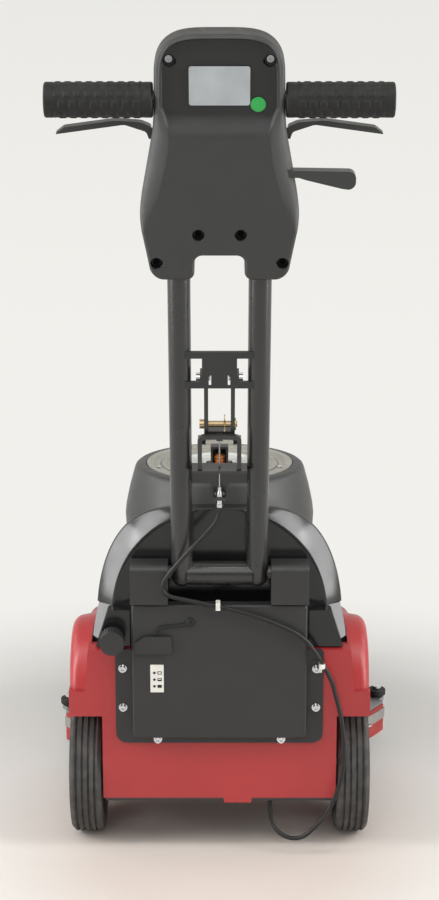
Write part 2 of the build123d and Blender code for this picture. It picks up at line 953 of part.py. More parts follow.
def solution_tank():
    """Clean-water tank, the lower half of the tank pair."""
    lower = block(everywhere, everywhere, (tank_base_z, tank_seam_z))
    hollow = block(everywhere, everywhere, (tank_base_z + tank_wall, tank_seam_z - tank_wall))
    tank = (bevelled_tank_form(0) & lower) - (bevelled_tank_form(tank_wall) & hollow)
    foot_z = rear_wall_top_z + part_gap
    wing_points = [
        (tank_step_inner_x, foot_z),
        (tank_step_foot_x, foot_z),
        (tank_step_top_x, tank_seam_z),
        (tank_step_inner_x, tank_seam_z),
    ]
    wing_face = outline(wing_points, [0, 0, cover_box_corner, 0])
    wing = slab_xz(wing_face, (tank_step_y, tank_rear_y + tank_wall))
    tank += wing + mirror(wing, Plane.YZ)
    return tank - rod("Y", (tank_step_y, tank_rear_y + tank_wall), (knob_x, knob_z), knob_stem_radius)


def recovery_tank():
    """Dirty-water tank with the cone that carries the lid and its hinge lugs."""
    outer = (bevelled_tank_form(0) + neck_form(0)) & above(tank_seam_z)
    hollow_z = (tank_seam_z + tank_wall, lid_seat_z - tank_wall)
    hollow = bevelled_tank_form(tank_wall) + neck_form(tank_wall)
    hollow &= block(everywhere, everywhere, hollow_z)
    mouth = rod("Z", (lid_seat_z - 2 * tank_wall, everywhere[1]), (0, neck_y), mouth_radius)
    seat = rod("Z", (lid_seat_z, everywhere[1]), (0, neck_y), lid_radius + part_gap)
    lug_x = (hinge_barrel_half + slide_gap, hinge_barrel_half + slide_gap + hinge_lug_width)
    lug = rod("X", lug_x, (lid_hinge_y, lid_hinge_z), hinge_barrel_radius)
    foot_y = (neck_y + lid_radius + 2 * part_gap, lid_hinge_y)
    lug += block(lug_x, foot_y, (neck_top_z - 2 * hinge_barrel_radius, lid_hinge_z))
    toe_y = (lid_hinge_y, lid_hinge_y + hinge_barrel_radius)
    lug += block(lug_x, toe_y, (neck_top_z - hinge_barrel_radius, lid_hinge_z))
    lugs = lug + mirror(lug, Plane.YZ)
    lugs -= rod("X", everywhere, (lid_hinge_y, lid_hinge_z), hinge_pin_radius)
    tank = outer - hollow - mouth - seat
    return tank + (lugs - hollow)


def tank_lid():
    """Round translucent lid with raised rings, a rim tongue and a hinge barrel."""
    ridge_z = lid_top_z + lid_ridge
    profile = [
        (0, lid_seat_z),
        (lid_radius, lid_seat_z),
        (lid_radius, ridge_z),
        (lid_radius - lid_rim, ridge_z),
        (lid_radius - lid_rim - lid_rim_slope, lid_top_z),
    ]
    for inset in lid_ring_insets:
        outer = lid_radius - inset
        inner = outer - lid_ring_width
        ring_z = ridge_z - part_gap
        profile += [(outer, lid_top_z), (outer - lid_ring_slope, ring_z)]
        profile += [(inner + lid_ring_slope, ring_z), (inner, lid_top_z)]
    lid = turned_z(profile + [(0, lid_top_z)], neck_y)
    barrel_x = (-hinge_barrel_half, hinge_barrel_half)
    tongue_z = (neck_top_z + slide_gap, neck_top_z + slide_gap + lid_ridge)
    lid += block(barrel_x, (neck_y + lid_radius - lid_rim, lid_hinge_y), tongue_z)
    lid += rod("X", barrel_x, (lid_hinge_y, lid_hinge_z), hinge_barrel_radius)
    lid -= rod("X", everywhere, (lid_hinge_y, lid_hinge_z), hinge_pin_radius + running_gap)
    return lid


def lid_pin():
    """Hinge pin of the lid, fixed in the tank's lugs."""
    reach = hinge_barrel_half + slide_gap + hinge_lug_width
    return rod("X", (-reach, reach), (lid_hinge_y, lid_hinge_z), hinge_pin_radius)


def float_cage():
    """Black cage on the middle of the lid, with two windows towards the back."""
    half = cage_width / 2
    depth = (neck_y - cage_depth / 2, neck_y + cage_depth / 2)
    top = lid_top_z + cage_height
    window_z = (lid_top_z, top - cage_bar)
    cage = block((-half, half), depth, (lid_top_z, top))
    cage -= block((cage_bar - half, half - cage_bar), (depth[0], depth[1] - cage_bar), window_z)
    mullion = block((-cage_bar / 2, cage_bar / 2), (depth[0], depth[0] + part_gap), window_z)
    foot_half = half + 3 * lid_screw_radius
    foot_y = (neck_y - lid_screw_radius, depth[1])
    foot = block((-foot_half, foot_half), foot_y, (lid_top_z, lid_top_z + part_gap))
    return cage + mullion + foot - rod("Z", window_z, (0, neck_y), float_radius + slide_gap)


def lid_float():
    """Ribbed float inside the cage."""
    points = [(0, lid_top_z)]
    groove_radius = float_radius - float_groove
    for number in range(float_ribs):
        low = lid_top_z + 2 * number * float_rib
        points += [(float_radius, low), (float_radius, low + float_rib)]
        points += [(groove_radius, low + float_rib), (groove_radius, low + 2 * float_rib)]
    points.append((0, lid_top_z + 2 * float_ribs * float_rib))
    return turned_z(points, neck_y)


def lid_screws():
    """Screw heads on the lid, beside the cage and near the rim."""
    cage_screw_x = cage_width / 2 + 2 * lid_screw_radius
    places = [
        (cage_screw_x, neck_y, lid_top_z + part_gap),
        (lid_screw_x, neck_y - lid_screw_setback, lid_top_z),
    ]
    heads = []
    for x, y, z in places:
        head = rod("Z", (z, z + lid_screw_height), (x, y), lid_screw_radius)
        heads += [head, mirror(head, Plane.YZ)]
    return Compound(children=heads)


# Back panel


def cover_screw_places():
    """X and Z of the rear cover's screws."""
    right = [(screw_side_x, screw_upper_z), (screw_side_x, screw_middle_z), (screw_bottom_x, screw_bottom_z)]
    return right + [(-x, z) for x, z in right]


def rear_cover():
    """Moulded rear cover: a flange with a raised box, open towards the chassis."""
    flange_z = (cover_bottom_z, rear_wall_top_z - part_gap)
    flange_face = mirrored_outline(
        [(cover_flange_half_width, flange_z[0]), (cover_flange_half_width, flange_z[1])],
        [cover_corner, cover_box_corner],
    )
    box_face = rounded_panel(cover_half_width, (cover_box_bottom_z, cover_top_z), cover_box_corner)
    inside_z = (cover_box_bottom_z + cover_wall, cover_top_z - cover_wall)
    inside_face = rounded_panel(cover_half_width - cover_wall, inside_z, cover_box_corner - cover_wall)
    box = slab_xz(box_face, (cover_face_y, rear_y))
    box = fillet(box.faces().sort_by(Axis.Y)[0].edges(), cover_box_corner - cover_wall)
    cover = slab_xz(flange_face, (flange_face_y, rear_y)) + box
    cover -= slab_xz(inside_face, (cover_face_y + cover_wall, rear_y))
    half = socket_panel_width / 2 + slide_gap
    rise = socket_panel_height / 2 + slide_gap
    window_x = (socket_x - half, socket_x + half)
    cover -= block(window_x, (cover_face_y, cover_face_y + cover_wall), (socket_z - rise, socket_z + rise))
    for x, z in cover_screw_places():
        cover -= rod("Y", (flange_face_y, rear_y), (x, z), screw_radius)
    return cover


def cover_screws():
    """Cap screws with washers round the cover; one also holds the cable clip."""
    screws = []
    for x, z in cover_screw_places():
        clip = clip_thickness if (x > 0 and z == screw_upper_z) else 0
        seat = flange_face_y - clip
        washer_y = seat - washer_thickness
        head_y = washer_y - screw_head_height
        screw = rod("Y", (washer_y, rear_y + screw_length), (x, z), screw_radius)
        screw += rod("Y", (washer_y, seat), (x, z), washer_radius)
        head = rod("Y", (head_y, washer_y), (x, z), screw_head_radius)
        head -= rod("Y", (head_y, washer_y - screw_head_height / 2), (x, z), screw_head_radius / 2)
        screws.append(screw + head)
    return Compound(children=screws)


def charge_socket():
    """Charging inlet on a small panel in the cover, with contact pins at its bottom."""
    body_y = (cover_face_y - part_gap, rear_y - part_gap)
    floor_y = body_y[1] - cover_wall
    half = socket_panel_width / 2
    rise = socket_panel_height / 2
    back_y = cover_face_y + cover_wall
    body = block((socket_x - half, socket_x + half), (body_y[0], back_y), (socket_z - rise, socket_z + rise))
    body += rod("Y", (back_y, body_y[1]), (socket_x, socket_z), socket_radius + cover_wall)
    body -= rod("Y", (body_y[0], floor_y), (socket_x, socket_z), socket_radius)
    for offset in (-socket_radius / 2, 0, socket_radius / 2):
        body += rod("Y", (floor_y - socket_pin_length, floor_y), (socket_x + offset, socket_z), part_gap)
    return body


def flap_span():
    """Lower and upper edge of the charging flap."""
    return socket_z - flap_height / 2, socket_z + flap_height / 2


def charge_flap():
    """Rubber flap over the charging inlet."""
    half = flap_width / 2
    low, high = flap_span()
    face_y = cover_face_y - part_gap - slide_gap
    wing = half + flap_wing
    points = [(half, low), (half, high), (flap_notch - half, high), (-wing, high - flap_wing), (-wing, low)]
    face = outline(points, [flap_corner] * len(points))
    return Pos(socket_x, 0, 0) * slab_xz(face, (face_y - flap_thickness, face_y))


def charge_indicator():
    """Small plate for the charge lamps on the cover."""
    half = indicator_width / 2
    z_span = (indicator_z - indicator_height / 2, indicator_z + indicator_height / 2)
    y_span = (cover_face_y - indicator_thickness, cover_face_y)
    return block((socket_x - half, socket_x + half), y_span, z_span)


def flow_valve():
    """Valve stem out of the solution tank, under the flow knob."""
    stem = rod("Y", (tank_rear_y - knob_reach, tank_step_y + tank_wall), (knob_x, knob_z), knob_stem_radius)
    spindle_y = (tank_rear_y - knob_reach - knob_length / 2, tank_rear_y - knob_reach)
    return stem + rod("Y", spindle_y, (knob_x, knob_z), knob_stem_radius / 2)


def flow_knob():
    """Knurled knob that turns the water flow up and down."""
    front = tank_rear_y - knob_reach - slide_gap
    knob = rod("Y", (front - knob_length, front), (knob_x, knob_z), knob_radius)
    for number in range(knob_flutes):
        turn = 2 * pi * number / knob_flutes
        x = knob_x + knob_radius * cos(turn)
        z = knob_z + knob_radius * sin(turn)
        knob -= rod("Y", (front - knob_length + cover_wall, front), (x, z), part_gap)
    spindle_y = (front - knob_length / 2, front)
    return knob - rod("Y", spindle_y, (knob_x, knob_z), knob_stem_radius / 2 + running_gap)


def pivot_block(side):
    """Block that carries one end of the handle's pivot shaft."""
    x_span = (pivot_block_inner_x, pivot_block_outer_x)
    front_y = tank_rear_y - 2 * part_gap
    rear_face = hinge_y - pivot_block_rear
    profile = [
        (rear_y + part_gap, rear_wall_top_z),
        (front_y, rear_wall_top_z),
        (front_y, pivot_block_top_z),
        (rear_face, pivot_block_top_z),
        (rear_face, cover_top_z + part_gap),
        (rear_y + part_gap, cover_top_z + part_gap),
    ]
    corners = [0, 0, pivot_block_round, pivot_block_round, pivot_block_heel, 0]
    body = slab_yz(outline(profile, corners), x_span)
    body -= rod("X", everywhere, (hinge_y, hinge_z), pivot_radius)
    return body if side > 0 else mirror(body, Plane.YZ)


def pivot_shaft():
    """Shaft through both blocks and the handle's feet, with spacer collars."""
    shaft = rod("X", (-pivot_block_outer_x, pivot_block_outer_x), (hinge_y, hinge_z), pivot_radius)
    collar_x = (tube_x + tube_radius + slide_gap, pivot_block_inner_x)
    collar = rod("X", collar_x, (hinge_y, hinge_z), pivot_collar_radius)
    return shaft + collar + mirror(collar, Plane.YZ)


# Handle


def tube_room(radius):
    """Both handle tubes as plain bars, along the handle."""
    bars = [rod("Z", (0, tube_top), (side * tube_x, 0), radius) for side in sides.values()]
    return bars[0] + bars[1]


def handle_tube(side):
    """Steel handle tube with a domed foot on the pivot shaft."""
    x = side * tube_x
    foot_z = tube_radius - tube_foot
    tube = rod("Z", (foot_z, tube_top), (x, 0), tube_radius) + Pos(x, 0, foot_z) * Sphere(tube_radius)
    tube -= rod("Z", (tube_foot, tube_top), (x, 0), tube_radius - tube_wall)
    tube -= rod("X", everywhere, (0, 0), pivot_radius + running_gap)
    return on_handle(tube - rod("X", everywhere, (0, grip_height), bar_radius))


def pivot_tube():
    """Cross tube between the handle's feet, fitted round them."""
    half = tube_x - tube_radius + pivot_tube_bite
    tube = rod("X", (-half, half), (0, 0), pivot_tube_radius)
    for side in sides.values():
        tube -= rod("Z", (-tube_foot - tube_radius, tube_top), (side * tube_x, 0), tube_radius)
    return on_handle(tube - rod("X", everywhere, (0, 0), pivot_radius + running_gap))


def handlebar():
    """Cross bar that carries the grips."""
    reach = grip_outer_x - grip_end_wall
    bar = rod("X", (-reach, reach), (0, grip_height), bar_radius)
    return on_handle(bar - rod("X", everywhere, (0, grip_height), bar_radius - tube_wall))


def grip(side):
    """Rubber grip with a collar at each end."""
    x_in = grip_inner_x
    x_out = grip_outer_x
    collar = grip_collar_width
    points = [
        (x_in, bar_radius),
        (x_in, grip_collar_radius),
        (x_in + collar, grip_collar_radius),
        (x_in + collar + grip_step, grip_radius),
        (x_out - collar - grip_step, grip_radius),
        (x_out - collar, grip_collar_radius),
        (x_out - grip_step, grip_collar_radius),
        (x_out, grip_collar_radius - grip_step),
        (x_out, 0),
        (x_out - grip_end_wall, 0),
        (x_out - grip_end_wall, bar_radius),
    ]
    body = Pos(0, 0, grip_height) * turned_x(points)
    return on_handle(body if side > 0 else mirror(body, Plane.YZ))


def console_outline(inset):
    """Front view of the console along the handle."""
    half_notch = console_notch_half_width + inset
    points = [
        (console_top_half_width - inset, console_top - inset),
        (console_fold_half_width - inset, console_fold),
        (console_widest_half_width - inset, console_widest),
        (console_bottom_half_width - inset, console_bottom + inset),
        (half_notch, console_bottom + inset),
        (half_notch, console_notch_top + inset),
    ]
    top, fold, widest, bottom, lobe = console_corners
    radii = [top - inset, fold, widest, bottom - inset, lobe - inset, console_notch_corner]
    return mirrored_outline(points, radii)


def console_screw_places():
    """X, height, head depth behind the parting plane and well radius of the console's screws."""
    floor = console_rear_depth - head_recess - 2 * console_head_height
    deep = console_rear_depth - 3 * console_wall
    right = [
        (upper_screw_x, upper_screw_height, floor, upper_well_radius),
        (middle_screw_x, middle_screw_height, deep, console_well_radius),
        (lower_screw_x, lower_screw_height, deep, console_well_radius),
    ]
    return right + [(-x, height, depth, well) for x, height, depth, well in right]


def console_head_face(grow):
    """Front view of the recess in the console's head; grow moves its edge outwards."""
    points = [
        (console_top_half_width - head_rim + grow, console_top - head_rim + grow),
        (console_fold_half_width - head_rim + grow, console_fold + head_foot - grow),
    ]
    return mirrored_outline(points, [radius + grow for radius in head_corners])


def console_hump_form(inset):
    """Raised panel below the head's recess, with a ramp at its top and wide sloping flanks."""
    floor = head_recess + inset - console_rear_depth
    rear = inset - console_rear_depth
    points = [
        (hump_top_half - inset, hump_top),
        (hump_shoulder_half - inset, hump_shoulder),
        (hump_bottom_half - inset, hump_bottom),
    ]
    hump_face = mirrored_outline(points, list(hump_corners))
    hump = extrude(Plane.XZ.offset(-floor) * hump_face, head_recess + console_hump, taper=hump_flank)
    side_view = [
        (floor + part_gap, hump_end),
        (floor + part_gap, hump_start),
        (floor, hump_start),
        (rear - console_hump, hump_crest),
        (rear, hump_end),
    ]
    return hump & slab_yz(outline(side_view, [0, 0, 0, hump_crest_round, 0]), everywhere)


def console_rear():
    """Rear half of the console, with the recess of its head, its raised panel and screw wells."""
    floor = head_recess - console_rear_depth
    shell = slab_xz(console_outline(0), (-console_rear_depth, 0))
    shell = fillet(shell.faces().sort_by(Axis.Y)[0].edges(), console_rear_round)
    shell -= slab_xz(console_head_face(0), (-console_rear_depth, floor))
    shell += console_hump_form(0)
    hollow = slab_xz(console_outline(console_wall), (console_wall - console_rear_depth, 0))
    hollow -= slab_xz(console_head_face(console_wall), (-console_rear_depth, floor + console_wall))
    hollow += console_hump_form(console_wall)
    for x, height, _, _ in console_screw_places():
        hollow -= rod("Y", (-console_rear_depth, 0), (x, height), console_boss_radius)
    shell -= hollow
    for x, height, depth, well in console_screw_places():
        shell -= rod("Y", (-console_rear_depth - console_hump, -depth), (x, height), well)
        shell -= rod("Y", (-console_rear_depth, 0), (x, height), console_screw_radius)
    slot_y = (release_y - release_thickness / 2 - part_gap, release_y + release_thickness / 2 + part_gap)
    slot_z = (release_height - release_hub_radius - release_travel, release_height + release_hub_radius)
    shell -= block((release_pivot_x, everywhere[1]), slot_y, slot_z)
    pin_y = (console_wall - console_rear_depth, release_y + release_thickness / 2)
    shell += rod("Y", pin_y, (release_pivot_x, release_height), release_pin_radius)
    shell -= tube_room(tube_radius) + rod("X", everywhere, (0, grip_height), bar_radius)
    return on_handle(shell)


def console_front():
    """Front half of the console, with the dash face and holes for the controls."""
    shell = extrude(Plane.XZ * console_outline(0), -console_front_depth, taper=console_front_taper)
    shell = fillet(shell.faces().sort_by(Axis.Y)[-1].edges(), console_front_round)
    inside = Plane.XZ * console_outline(console_wall)
    hollow = extrude(inside, console_wall - console_front_depth, taper=console_front_taper)
    for x, height, _, _ in console_screw_places():
        hollow -= rod("Y", (0, console_front_depth), (x, height), console_boss_radius)
    shell -= hollow
    for x, height, _, _ in console_screw_places():
        shell -= rod("Y", (0, console_front_depth / 2), (x, height), console_screw_radius)
    wall_y = (console_front_depth - 2 * console_wall, console_front_depth)
    for side in sides.values():
        x = side * rocker_spacing / 2
        half = rocker_width / 2 + part_gap
        length = rocker_length / 2 + part_gap
        shell -= block((x - half, x + half), wall_y, (rocker_height - length, rocker_height + length))
    shell -= rod("X", everywhere, (paddle_pivot_y, paddle_pivot_height), paddle_shaft_radius + running_gap)
    shell -= tube_room(tube_radius) + rod("X", everywhere, (0, grip_height), bar_radius)
    return on_handle(shell)


def console_screws():
    """Screws that hold the console's halves together."""
    screws = []
    arm = console_cross_half
    slot = console_cross_slot / 2
    for x, height, depth, _ in console_screw_places():
        screw = rod("Y", (-depth, console_front_depth / 2), (x, height), console_screw_radius)
        head = rod("Y", (-depth - console_head_height, -depth), (x, height), console_head_radius)
        cross_y = (-depth - console_head_height, -depth - console_head_height / 2)
        head -= block((x - arm, x + arm), cross_y, (height - slot, height + slot))
        head -= block((x - slot, x + slot), cross_y, (height - arm, height + arm))
        screws.append(screw + head)
    return on_handle(Compound(children=screws))


def spec_plate():
    """Bare metal plate in the recess of the console's head."""
    half = plate_width / 2
    z_span = (plate_middle - plate_height / 2, plate_middle + plate_height / 2)
    rear = head_recess - console_rear_depth
    return on_handle(slab_xz(rounded_panel(half, z_span, plate_corner), (rear - plate_thickness, rear)))


def rocker(side):
    """Rocker switch on the dash, tilted to its off side."""
    low = rocker_proud - rocker_depth
    length = rocker_length / 2
    points = [(low, -length), (rocker_proud, -length), (rocker_proud, length), (low, length)]
    key = slab_yz(outline(points, [rocker_round] * len(points)), (-rocker_width / 2, rocker_width / 2))
    place = Pos(side * rocker_spacing / 2, console_front_depth - console_wall / 2, rocker_height)
    return on_handle(place * Rot(-rocker_tilt, 0, 0) * key)


def drive_paddle(side):
    """Paddle under a grip, on a shaft that turns in the console's side."""
    root = console_fold_half_width + paddle_root
    points = [(root + along, paddle_pivot_height + rise) for along, rise, _ in paddle_points]
    face = outline(points, [radius for _, _, radius in paddle_points])
    y_span = (paddle_pivot_y - paddle_depth / 2, paddle_pivot_y + paddle_depth / 2)
    shaft_x = (root - paddle_shaft_length, root + part_gap)
    shaft = rod("X", shaft_x, (paddle_pivot_y, paddle_pivot_height), paddle_shaft_radius)
    paddle = slab_xz(face, y_span) + shaft
    return on_handle(paddle if side > 0 else mirror(paddle, Plane.YZ))


def release_lever():
    """Flag lever on the right of the console that frees the handle's tilt."""
    pin = (release_pivot_x, release_height)
    points = [(pin[0] + along, pin[1] + rise) for along, rise, _ in release_points]
    face = outline(points, [radius for _, _, radius in release_points])
    y_span = (release_y - release_thickness / 2, release_y + release_thickness / 2)
    lever = slab_xz(face, y_span) + rod("Y", y_span, pin, release_hub_radius)
    return on_handle(lever - rod("Y", everywhere, pin, release_pin_radius + running_gap))


# Squeegee lift hardware on the handle


def brace_bracket():
    """Slotted plate welded between the tubes, with two ears for the guide bolts."""
    rear = -brace_setback
    web_z = (brace_bottom + brace_web_inset, brace_top - brace_web_inset)
    bar_y = (rear, rear + brace_bar_depth)
    bracket = block((-brace_web_half, brace_web_half), (rear, rear + brace_sheet), web_z)
    bracket += block((-tube_x, tube_x), bar_y, (brace_top - brace_bar_height, brace_top))
    bracket += block((-tube_x, tube_x), bar_y, (brace_bottom, brace_bottom + brace_bar_height))
    ear_x = (link_outer_x + part_gap, link_outer_x + part_gap + brace_ear)
    ear_z = (bolt_height - brace_bar_height, bolt_height + brace_bar_height)
    ear = block(ear_x, (rear, link_depth / 2 + part_gap), ear_z)
    bracket += ear + mirror(ear, Plane.YZ)
    slot = block((brace_slot_inner_x, brace_slot_outer_x), bar_y, (brace_slot_bottom, brace_slot_top))
    bracket -= slot + mirror(slot, Plane.YZ)
    bracket -= rod("X", everywhere, (0, bolt_height), bolt_radius)
    return on_handle(bracket - tube_room(tube_radius))


def guide_bolts():
    """Bolts through the bracket's ears and the link bars."""
    head_x = link_outer_x + part_gap + brace_ear
    bolt = rod("X", (link_inner_x - bolt_overhang, head_x + bolt_head_height), (0, bolt_height), bolt_radius)
    bolt += rod("X", (head_x, head_x + bolt_head_height), (0, bolt_height), bolt_head_radius)
    return on_handle(pair(bolt))


def link_bars():
    """Two bars hung on the guide bolts, joined by a cross plate at the foot."""
    half = link_depth / 2
    top = bolt_height + link_eye
    points = [(-half, link_bottom), (half, link_bottom), (half, top), (-half, top)]
    bar = slab_yz(outline(points, [0, 0, link_round, link_round]), (link_inner_x, link_outer_x))
    link = bar + mirror(bar, Plane.YZ)
    link += block((-link_inner_x, link_inner_x), (-half, half), (link_bottom, link_bottom + link_plate))
    link -= rod("X", everywhere, (0, bolt_height), bolt_radius)
    return on_handle(link - rod("X", everywhere, (0, clevis_height), clevis_radius))


def clevis_pin():
    """Zinc pin through the link bars, with a washer and a spring clip."""
    place = (0, clevis_height)
    reach = link_outer_x + clevis_head
    pin = rod("X", (-reach, link_outer_x + clevis_tail), place, clevis_radius)
    pin += rod("X", (-reach, -link_outer_x), place, clevis_radius + clevis_head_flange)
    pin += rod("X", (link_outer_x, link_outer_x + washer_thickness), place, clevis_radius + clevis_washer)
    clip_z = (clevis_height - clevis_radius, clevis_height + 2 * clevis_radius)
    clip = rod("Z", clip_z, (clevis_clip_x, -clevis_radius - part_gap), part_gap)
    return on_handle(Compound(children=[pin, clip]))


def lift_bail():
    """U frame that is pulled up by hand to raise the squeegee."""
    half = bail_half_width
    y_span = (bail_y - bail_bar / 2, bail_y + bail_bar / 2)
    inside = half - bail_bar
    outer = mirrored_outline([(half, bail_foot), (half, bail_top)], [0, bail_bend])
    inner = mirrored_outline([(inside, bail_foot), (inside, bail_top - bail_bar)], [0, bail_bend / 2])
    bail = slab_xz(outer, y_span) - slab_xz(inner, y_span)
    lug_y = (y_span[0], -link_depth / 2 - slide_gap)
    lug = block((-bail_lug_half, bail_lug_half), lug_y, (bail_top - bail_bar - bail_lug_drop, bail_top))
    return on_handle(bail + lug)


def inner_wire():
    """Bare end of the lift cable's wire, from the bail down to the adjuster."""
    wire_z = (adjuster_top, bail_top - bail_bar - bail_lug_drop - slide_gap)
    return on_handle(rod("Z", wire_z, (0, adjuster_y), wire_radius))


def shelf_span():
    """Heights of the shelf that carries the cable's adjuster."""
    return adjuster_seat - bracket_sheet / 2, adjuster_seat + bracket_sheet / 2


def cable_bracket():
    """Plate between the tubes whose lip guides the bail, with a tab for the adjuster."""
    sheet_y = (0, bracket_sheet)
    plate = block((-tube_x, tube_x), sheet_y, (bracket_bottom, lip_top))
    half_lip = tube_x - tube_radius
    plate += block((-half_lip, half_lip), (-lip_reach, 0), (lip_bottom, lip_top))
    tab_points = [
        (bracket_tab_tip, bracket_tab_bottom),
        (bracket_tab_half, bracket_tab_bottom + bracket_tab_taper),
        (bracket_tab_half, bracket_bottom + part_gap),
    ]
    plate += slab_xz(mirrored_outline(tab_points, [0, 0, 0]), sheet_y)
    shelf_y = (adjuster_y - bracket_shelf_reach, 0)
    plate += block((-bracket_shelf_half, bracket_shelf_half), shelf_y, shelf_span())
    guide_x = (bail_half_width - bail_bar - slide_gap, bail_half_width + slide_gap)
    guide_y = (bail_y - bail_bar / 2 - slide_gap, bail_y + bail_bar / 2 + slide_gap)
    guide = block(guide_x, guide_y, (lip_bottom, lip_top))
    plate -= guide + mirror(guide, Plane.YZ)
    plate -= rod("Z", (lip_bottom, lip_top), (0, adjuster_y), wire_radius + part_gap)
    plate -= rod("Z", shelf_span(), (0, adjuster_y), adjuster_radius)
    return on_handle(plate - tube_room(tube_radius))


def cable_adjuster():
    """Threaded adjuster with two nuts and the ferrule of the cable."""
    place = (0, adjuster_y)
    hexagon = Pos(*place) * RegularPolygon(adjuster_nut_radius, 6)
    low, high = shelf_span()
    nut_top = high + adjuster_nut_height
    body = rod("Z", (adjuster_bottom, nut_top + adjuster_thread), place, adjuster_radius)
    body += rod("Z", (nut_top, adjuster_top), place, adjuster_neck_radius)
    body += slab_xy(hexagon, (high, nut_top))
    body += slab_xy(hexagon, (low - adjuster_nut_height, low))
    body += rod("Z", (adjuster_bottom, adjuster_bottom + ferrule_length), place, ferrule_radius)
    return on_handle(body)


# Lift cable


def route_radii(points):
    """Largest even bend at each inner point: 0.45 of the shorter run over the tangent of half the turn."""
    radii = []
    for before, here, after in zip(points, points[1:], points[2:]):
        run_in = Vector(*here) - Vector(*before)
        run_out = Vector(*after) - Vector(*here)
        half_turn = radians(run_in.get_angle(run_out)) / 2
        radii.append(0.45 * min(run_in.length, run_out.length) / tan(half_turn))
    return radii


def cable_stretch(points):
    """Cable tube along a route of straight runs joined by arcs."""
    radii = route_radii(points)
    path = FilletPolyline(*points, radius=radii)
    section = Plane(origin=path @ 0, z_dir=path % 0) * Circle(cable_radius)
    tube = sweep(section, path=path.wire())
    exact = pi * cable_radius**2 * path.length
    print("cable length", round(path.length, 1), "volume share", round(tube.volume / exact, 4))
    print("bend radii", [round(radius) for radius in radii])
    return tube


def cable_clip():
    """White clip under a cover screw, closed round the cable."""
    x, y, z = lower_route[0]
    strap_y = (flange_face_y - clip_thickness, flange_face_y)
    strap_z = (screw_upper_z - clip_band, screw_upper_z + 2 * clip_band)
    band_z = (z - 3 * clip_band / 2, z - clip_band / 2)
    clip = block((screw_side_x - washer_radius, x + clip_neck), strap_y, strap_z)
    clip -= rod("Y", strap_y, (screw_side_x, screw_upper_z), screw_radius)
    clip += block((x - clip_neck, x + clip_neck), (y, strap_y[1]), band_z)
    return clip + rod("Z", band_z, (x, y), cable_radius + clip_wall)


def cable_tie():
    """White saddle that holds the cable on the cover's top edge."""
    x_span = (tie_x - tie_width / 2, tie_x + tie_width / 2)
    tail_y = cover_face_y - tie_reach
    saddle = block(x_span, (tail_y, cover_face_y + tie_seat), (cover_top_z, cover_top_z + tie_sheet))
    band_z = (cover_top_z - tie_drop, cover_top_z + tie_height)
    return saddle + block(x_span, (tail_y, cover_face_y - tie_gap), band_z)


# Squeegee


def swung(shape):
    """Shape drawn square to the machine, turned with the squeegee about the pad's axis."""
    return Rot(0, 0, squeegee_swing) * shape


def arc_bar(radius_span, z_span, half_turn):
    """Bar along the squeegee's arc, between two radii and two heights."""
    low, high = radius_span
    points = [(-high, z_span[0]), (-low, z_span[0]), (-low, z_span[1]), (-high, z_span[1])]
    face = make_face(Polyline(*points, close=True).edges())
    bar = revolve(Plane.YZ * face, Axis.Z, 2 * half_turn)
    return Pos(0, squeegee_centre_y, 0) * Rot(0, 0, -half_turn) * bar


def arc_place(turn, radius):
    """X and Y on the squeegee's arc, at a turn from its middle."""
    return radius * sin(radians(turn)), squeegee_centre_y - radius * cos(radians(turn))


def swing_ring():
    """Ring round the deck's boss, with an arm and two guide posts for the squeegee."""
    z_span = (ring_bottom_z, ring_top_z)
    arm_y = (-squeegee_vertex - squeegee_half_depth, -ring_inner_radius)
    ring = rod("Z", z_span, (0, 0), ring_outer_radius)
    ring += block((-arm_half_width, arm_half_width), arm_y, z_span)
    ring -= rod("Z", z_span, (0, 0), ring_inner_radius)
    ring -= rod("Z", z_span, (0, -squeegee_vertex), spigot_radius + 3 * part_gap)
    for side in sides.values():
        ring += rod("Z", (post_bottom_z, ring_top_z), (side * post_x, -squeegee_vertex), post_radius)
    return swung(ring)


def squeegee_body():
    """Curved squeegee channel with its guide bores and suction spigot."""
    mid = squeegee_radius
    half = squeegee_half_depth
    z_span = (squeegee_bottom_z, squeegee_top_z)
    body = arc_bar((mid - half, mid + half), z_span, squeegee_half_turn)
    hollow = half - squeegee_skin
    hollow_z = (z_span[0], z_span[1] - squeegee_skin)
    body -= arc_bar((mid - hollow, mid + hollow), hollow_z, squeegee_half_turn - squeegee_end_turn)
    lug_z = (squeegee_top_z - squeegee_skin, squeegee_top_z)
    body += arc_bar((mid - roller_lug_radius, mid + roller_lug_radius), lug_z, roller_turn)
    for side in sides.values():
        body += rod("Z", z_span, (side * post_x, -squeegee_vertex), post_radius + squeegee_skin)
        body += rod("Z", lug_z, arc_place(side * roller_turn, mid), roller_lug_radius)
    spigot_top = squeegee_top_z + spigot_height
    body += rod("Z", (squeegee_top_z - part_gap, spigot_top), (0, -squeegee_vertex), spigot_radius)
    bore_z = (squeegee_top_z - squeegee_skin, spigot_top)
    body -= rod("Z", bore_z, (0, -squeegee_vertex), spigot_radius - 3 * part_gap)
    for side in sides.values():
        body -= rod("Z", everywhere, (side * post_x, -squeegee_vertex), post_radius + running_gap)
        x, y = arc_place(side * roller_turn, mid)
        body -= rod("Z", everywhere, (x, y), roller_bolt_radius)
    return swung(body)


def blade_layers(thickness, start, z_span):
    """One strip on the front and one on the back face of the squeegee."""
    front = squeegee_radius - squeegee_half_depth - start
    back = squeegee_radius + squeegee_half_depth + start
    strips = [
        arc_bar((front - thickness, front), z_span, blade_half_turn),
        arc_bar((back, back + thickness), z_span, blade_half_turn),
    ]
    return Compound(children=[swung(strip) for strip in strips])


def squeegee_blades():
    """Front and rear rubber blades."""
    return blade_layers(blade_thickness, 0, (squeegee_lift, squeegee_lift + blade_height))


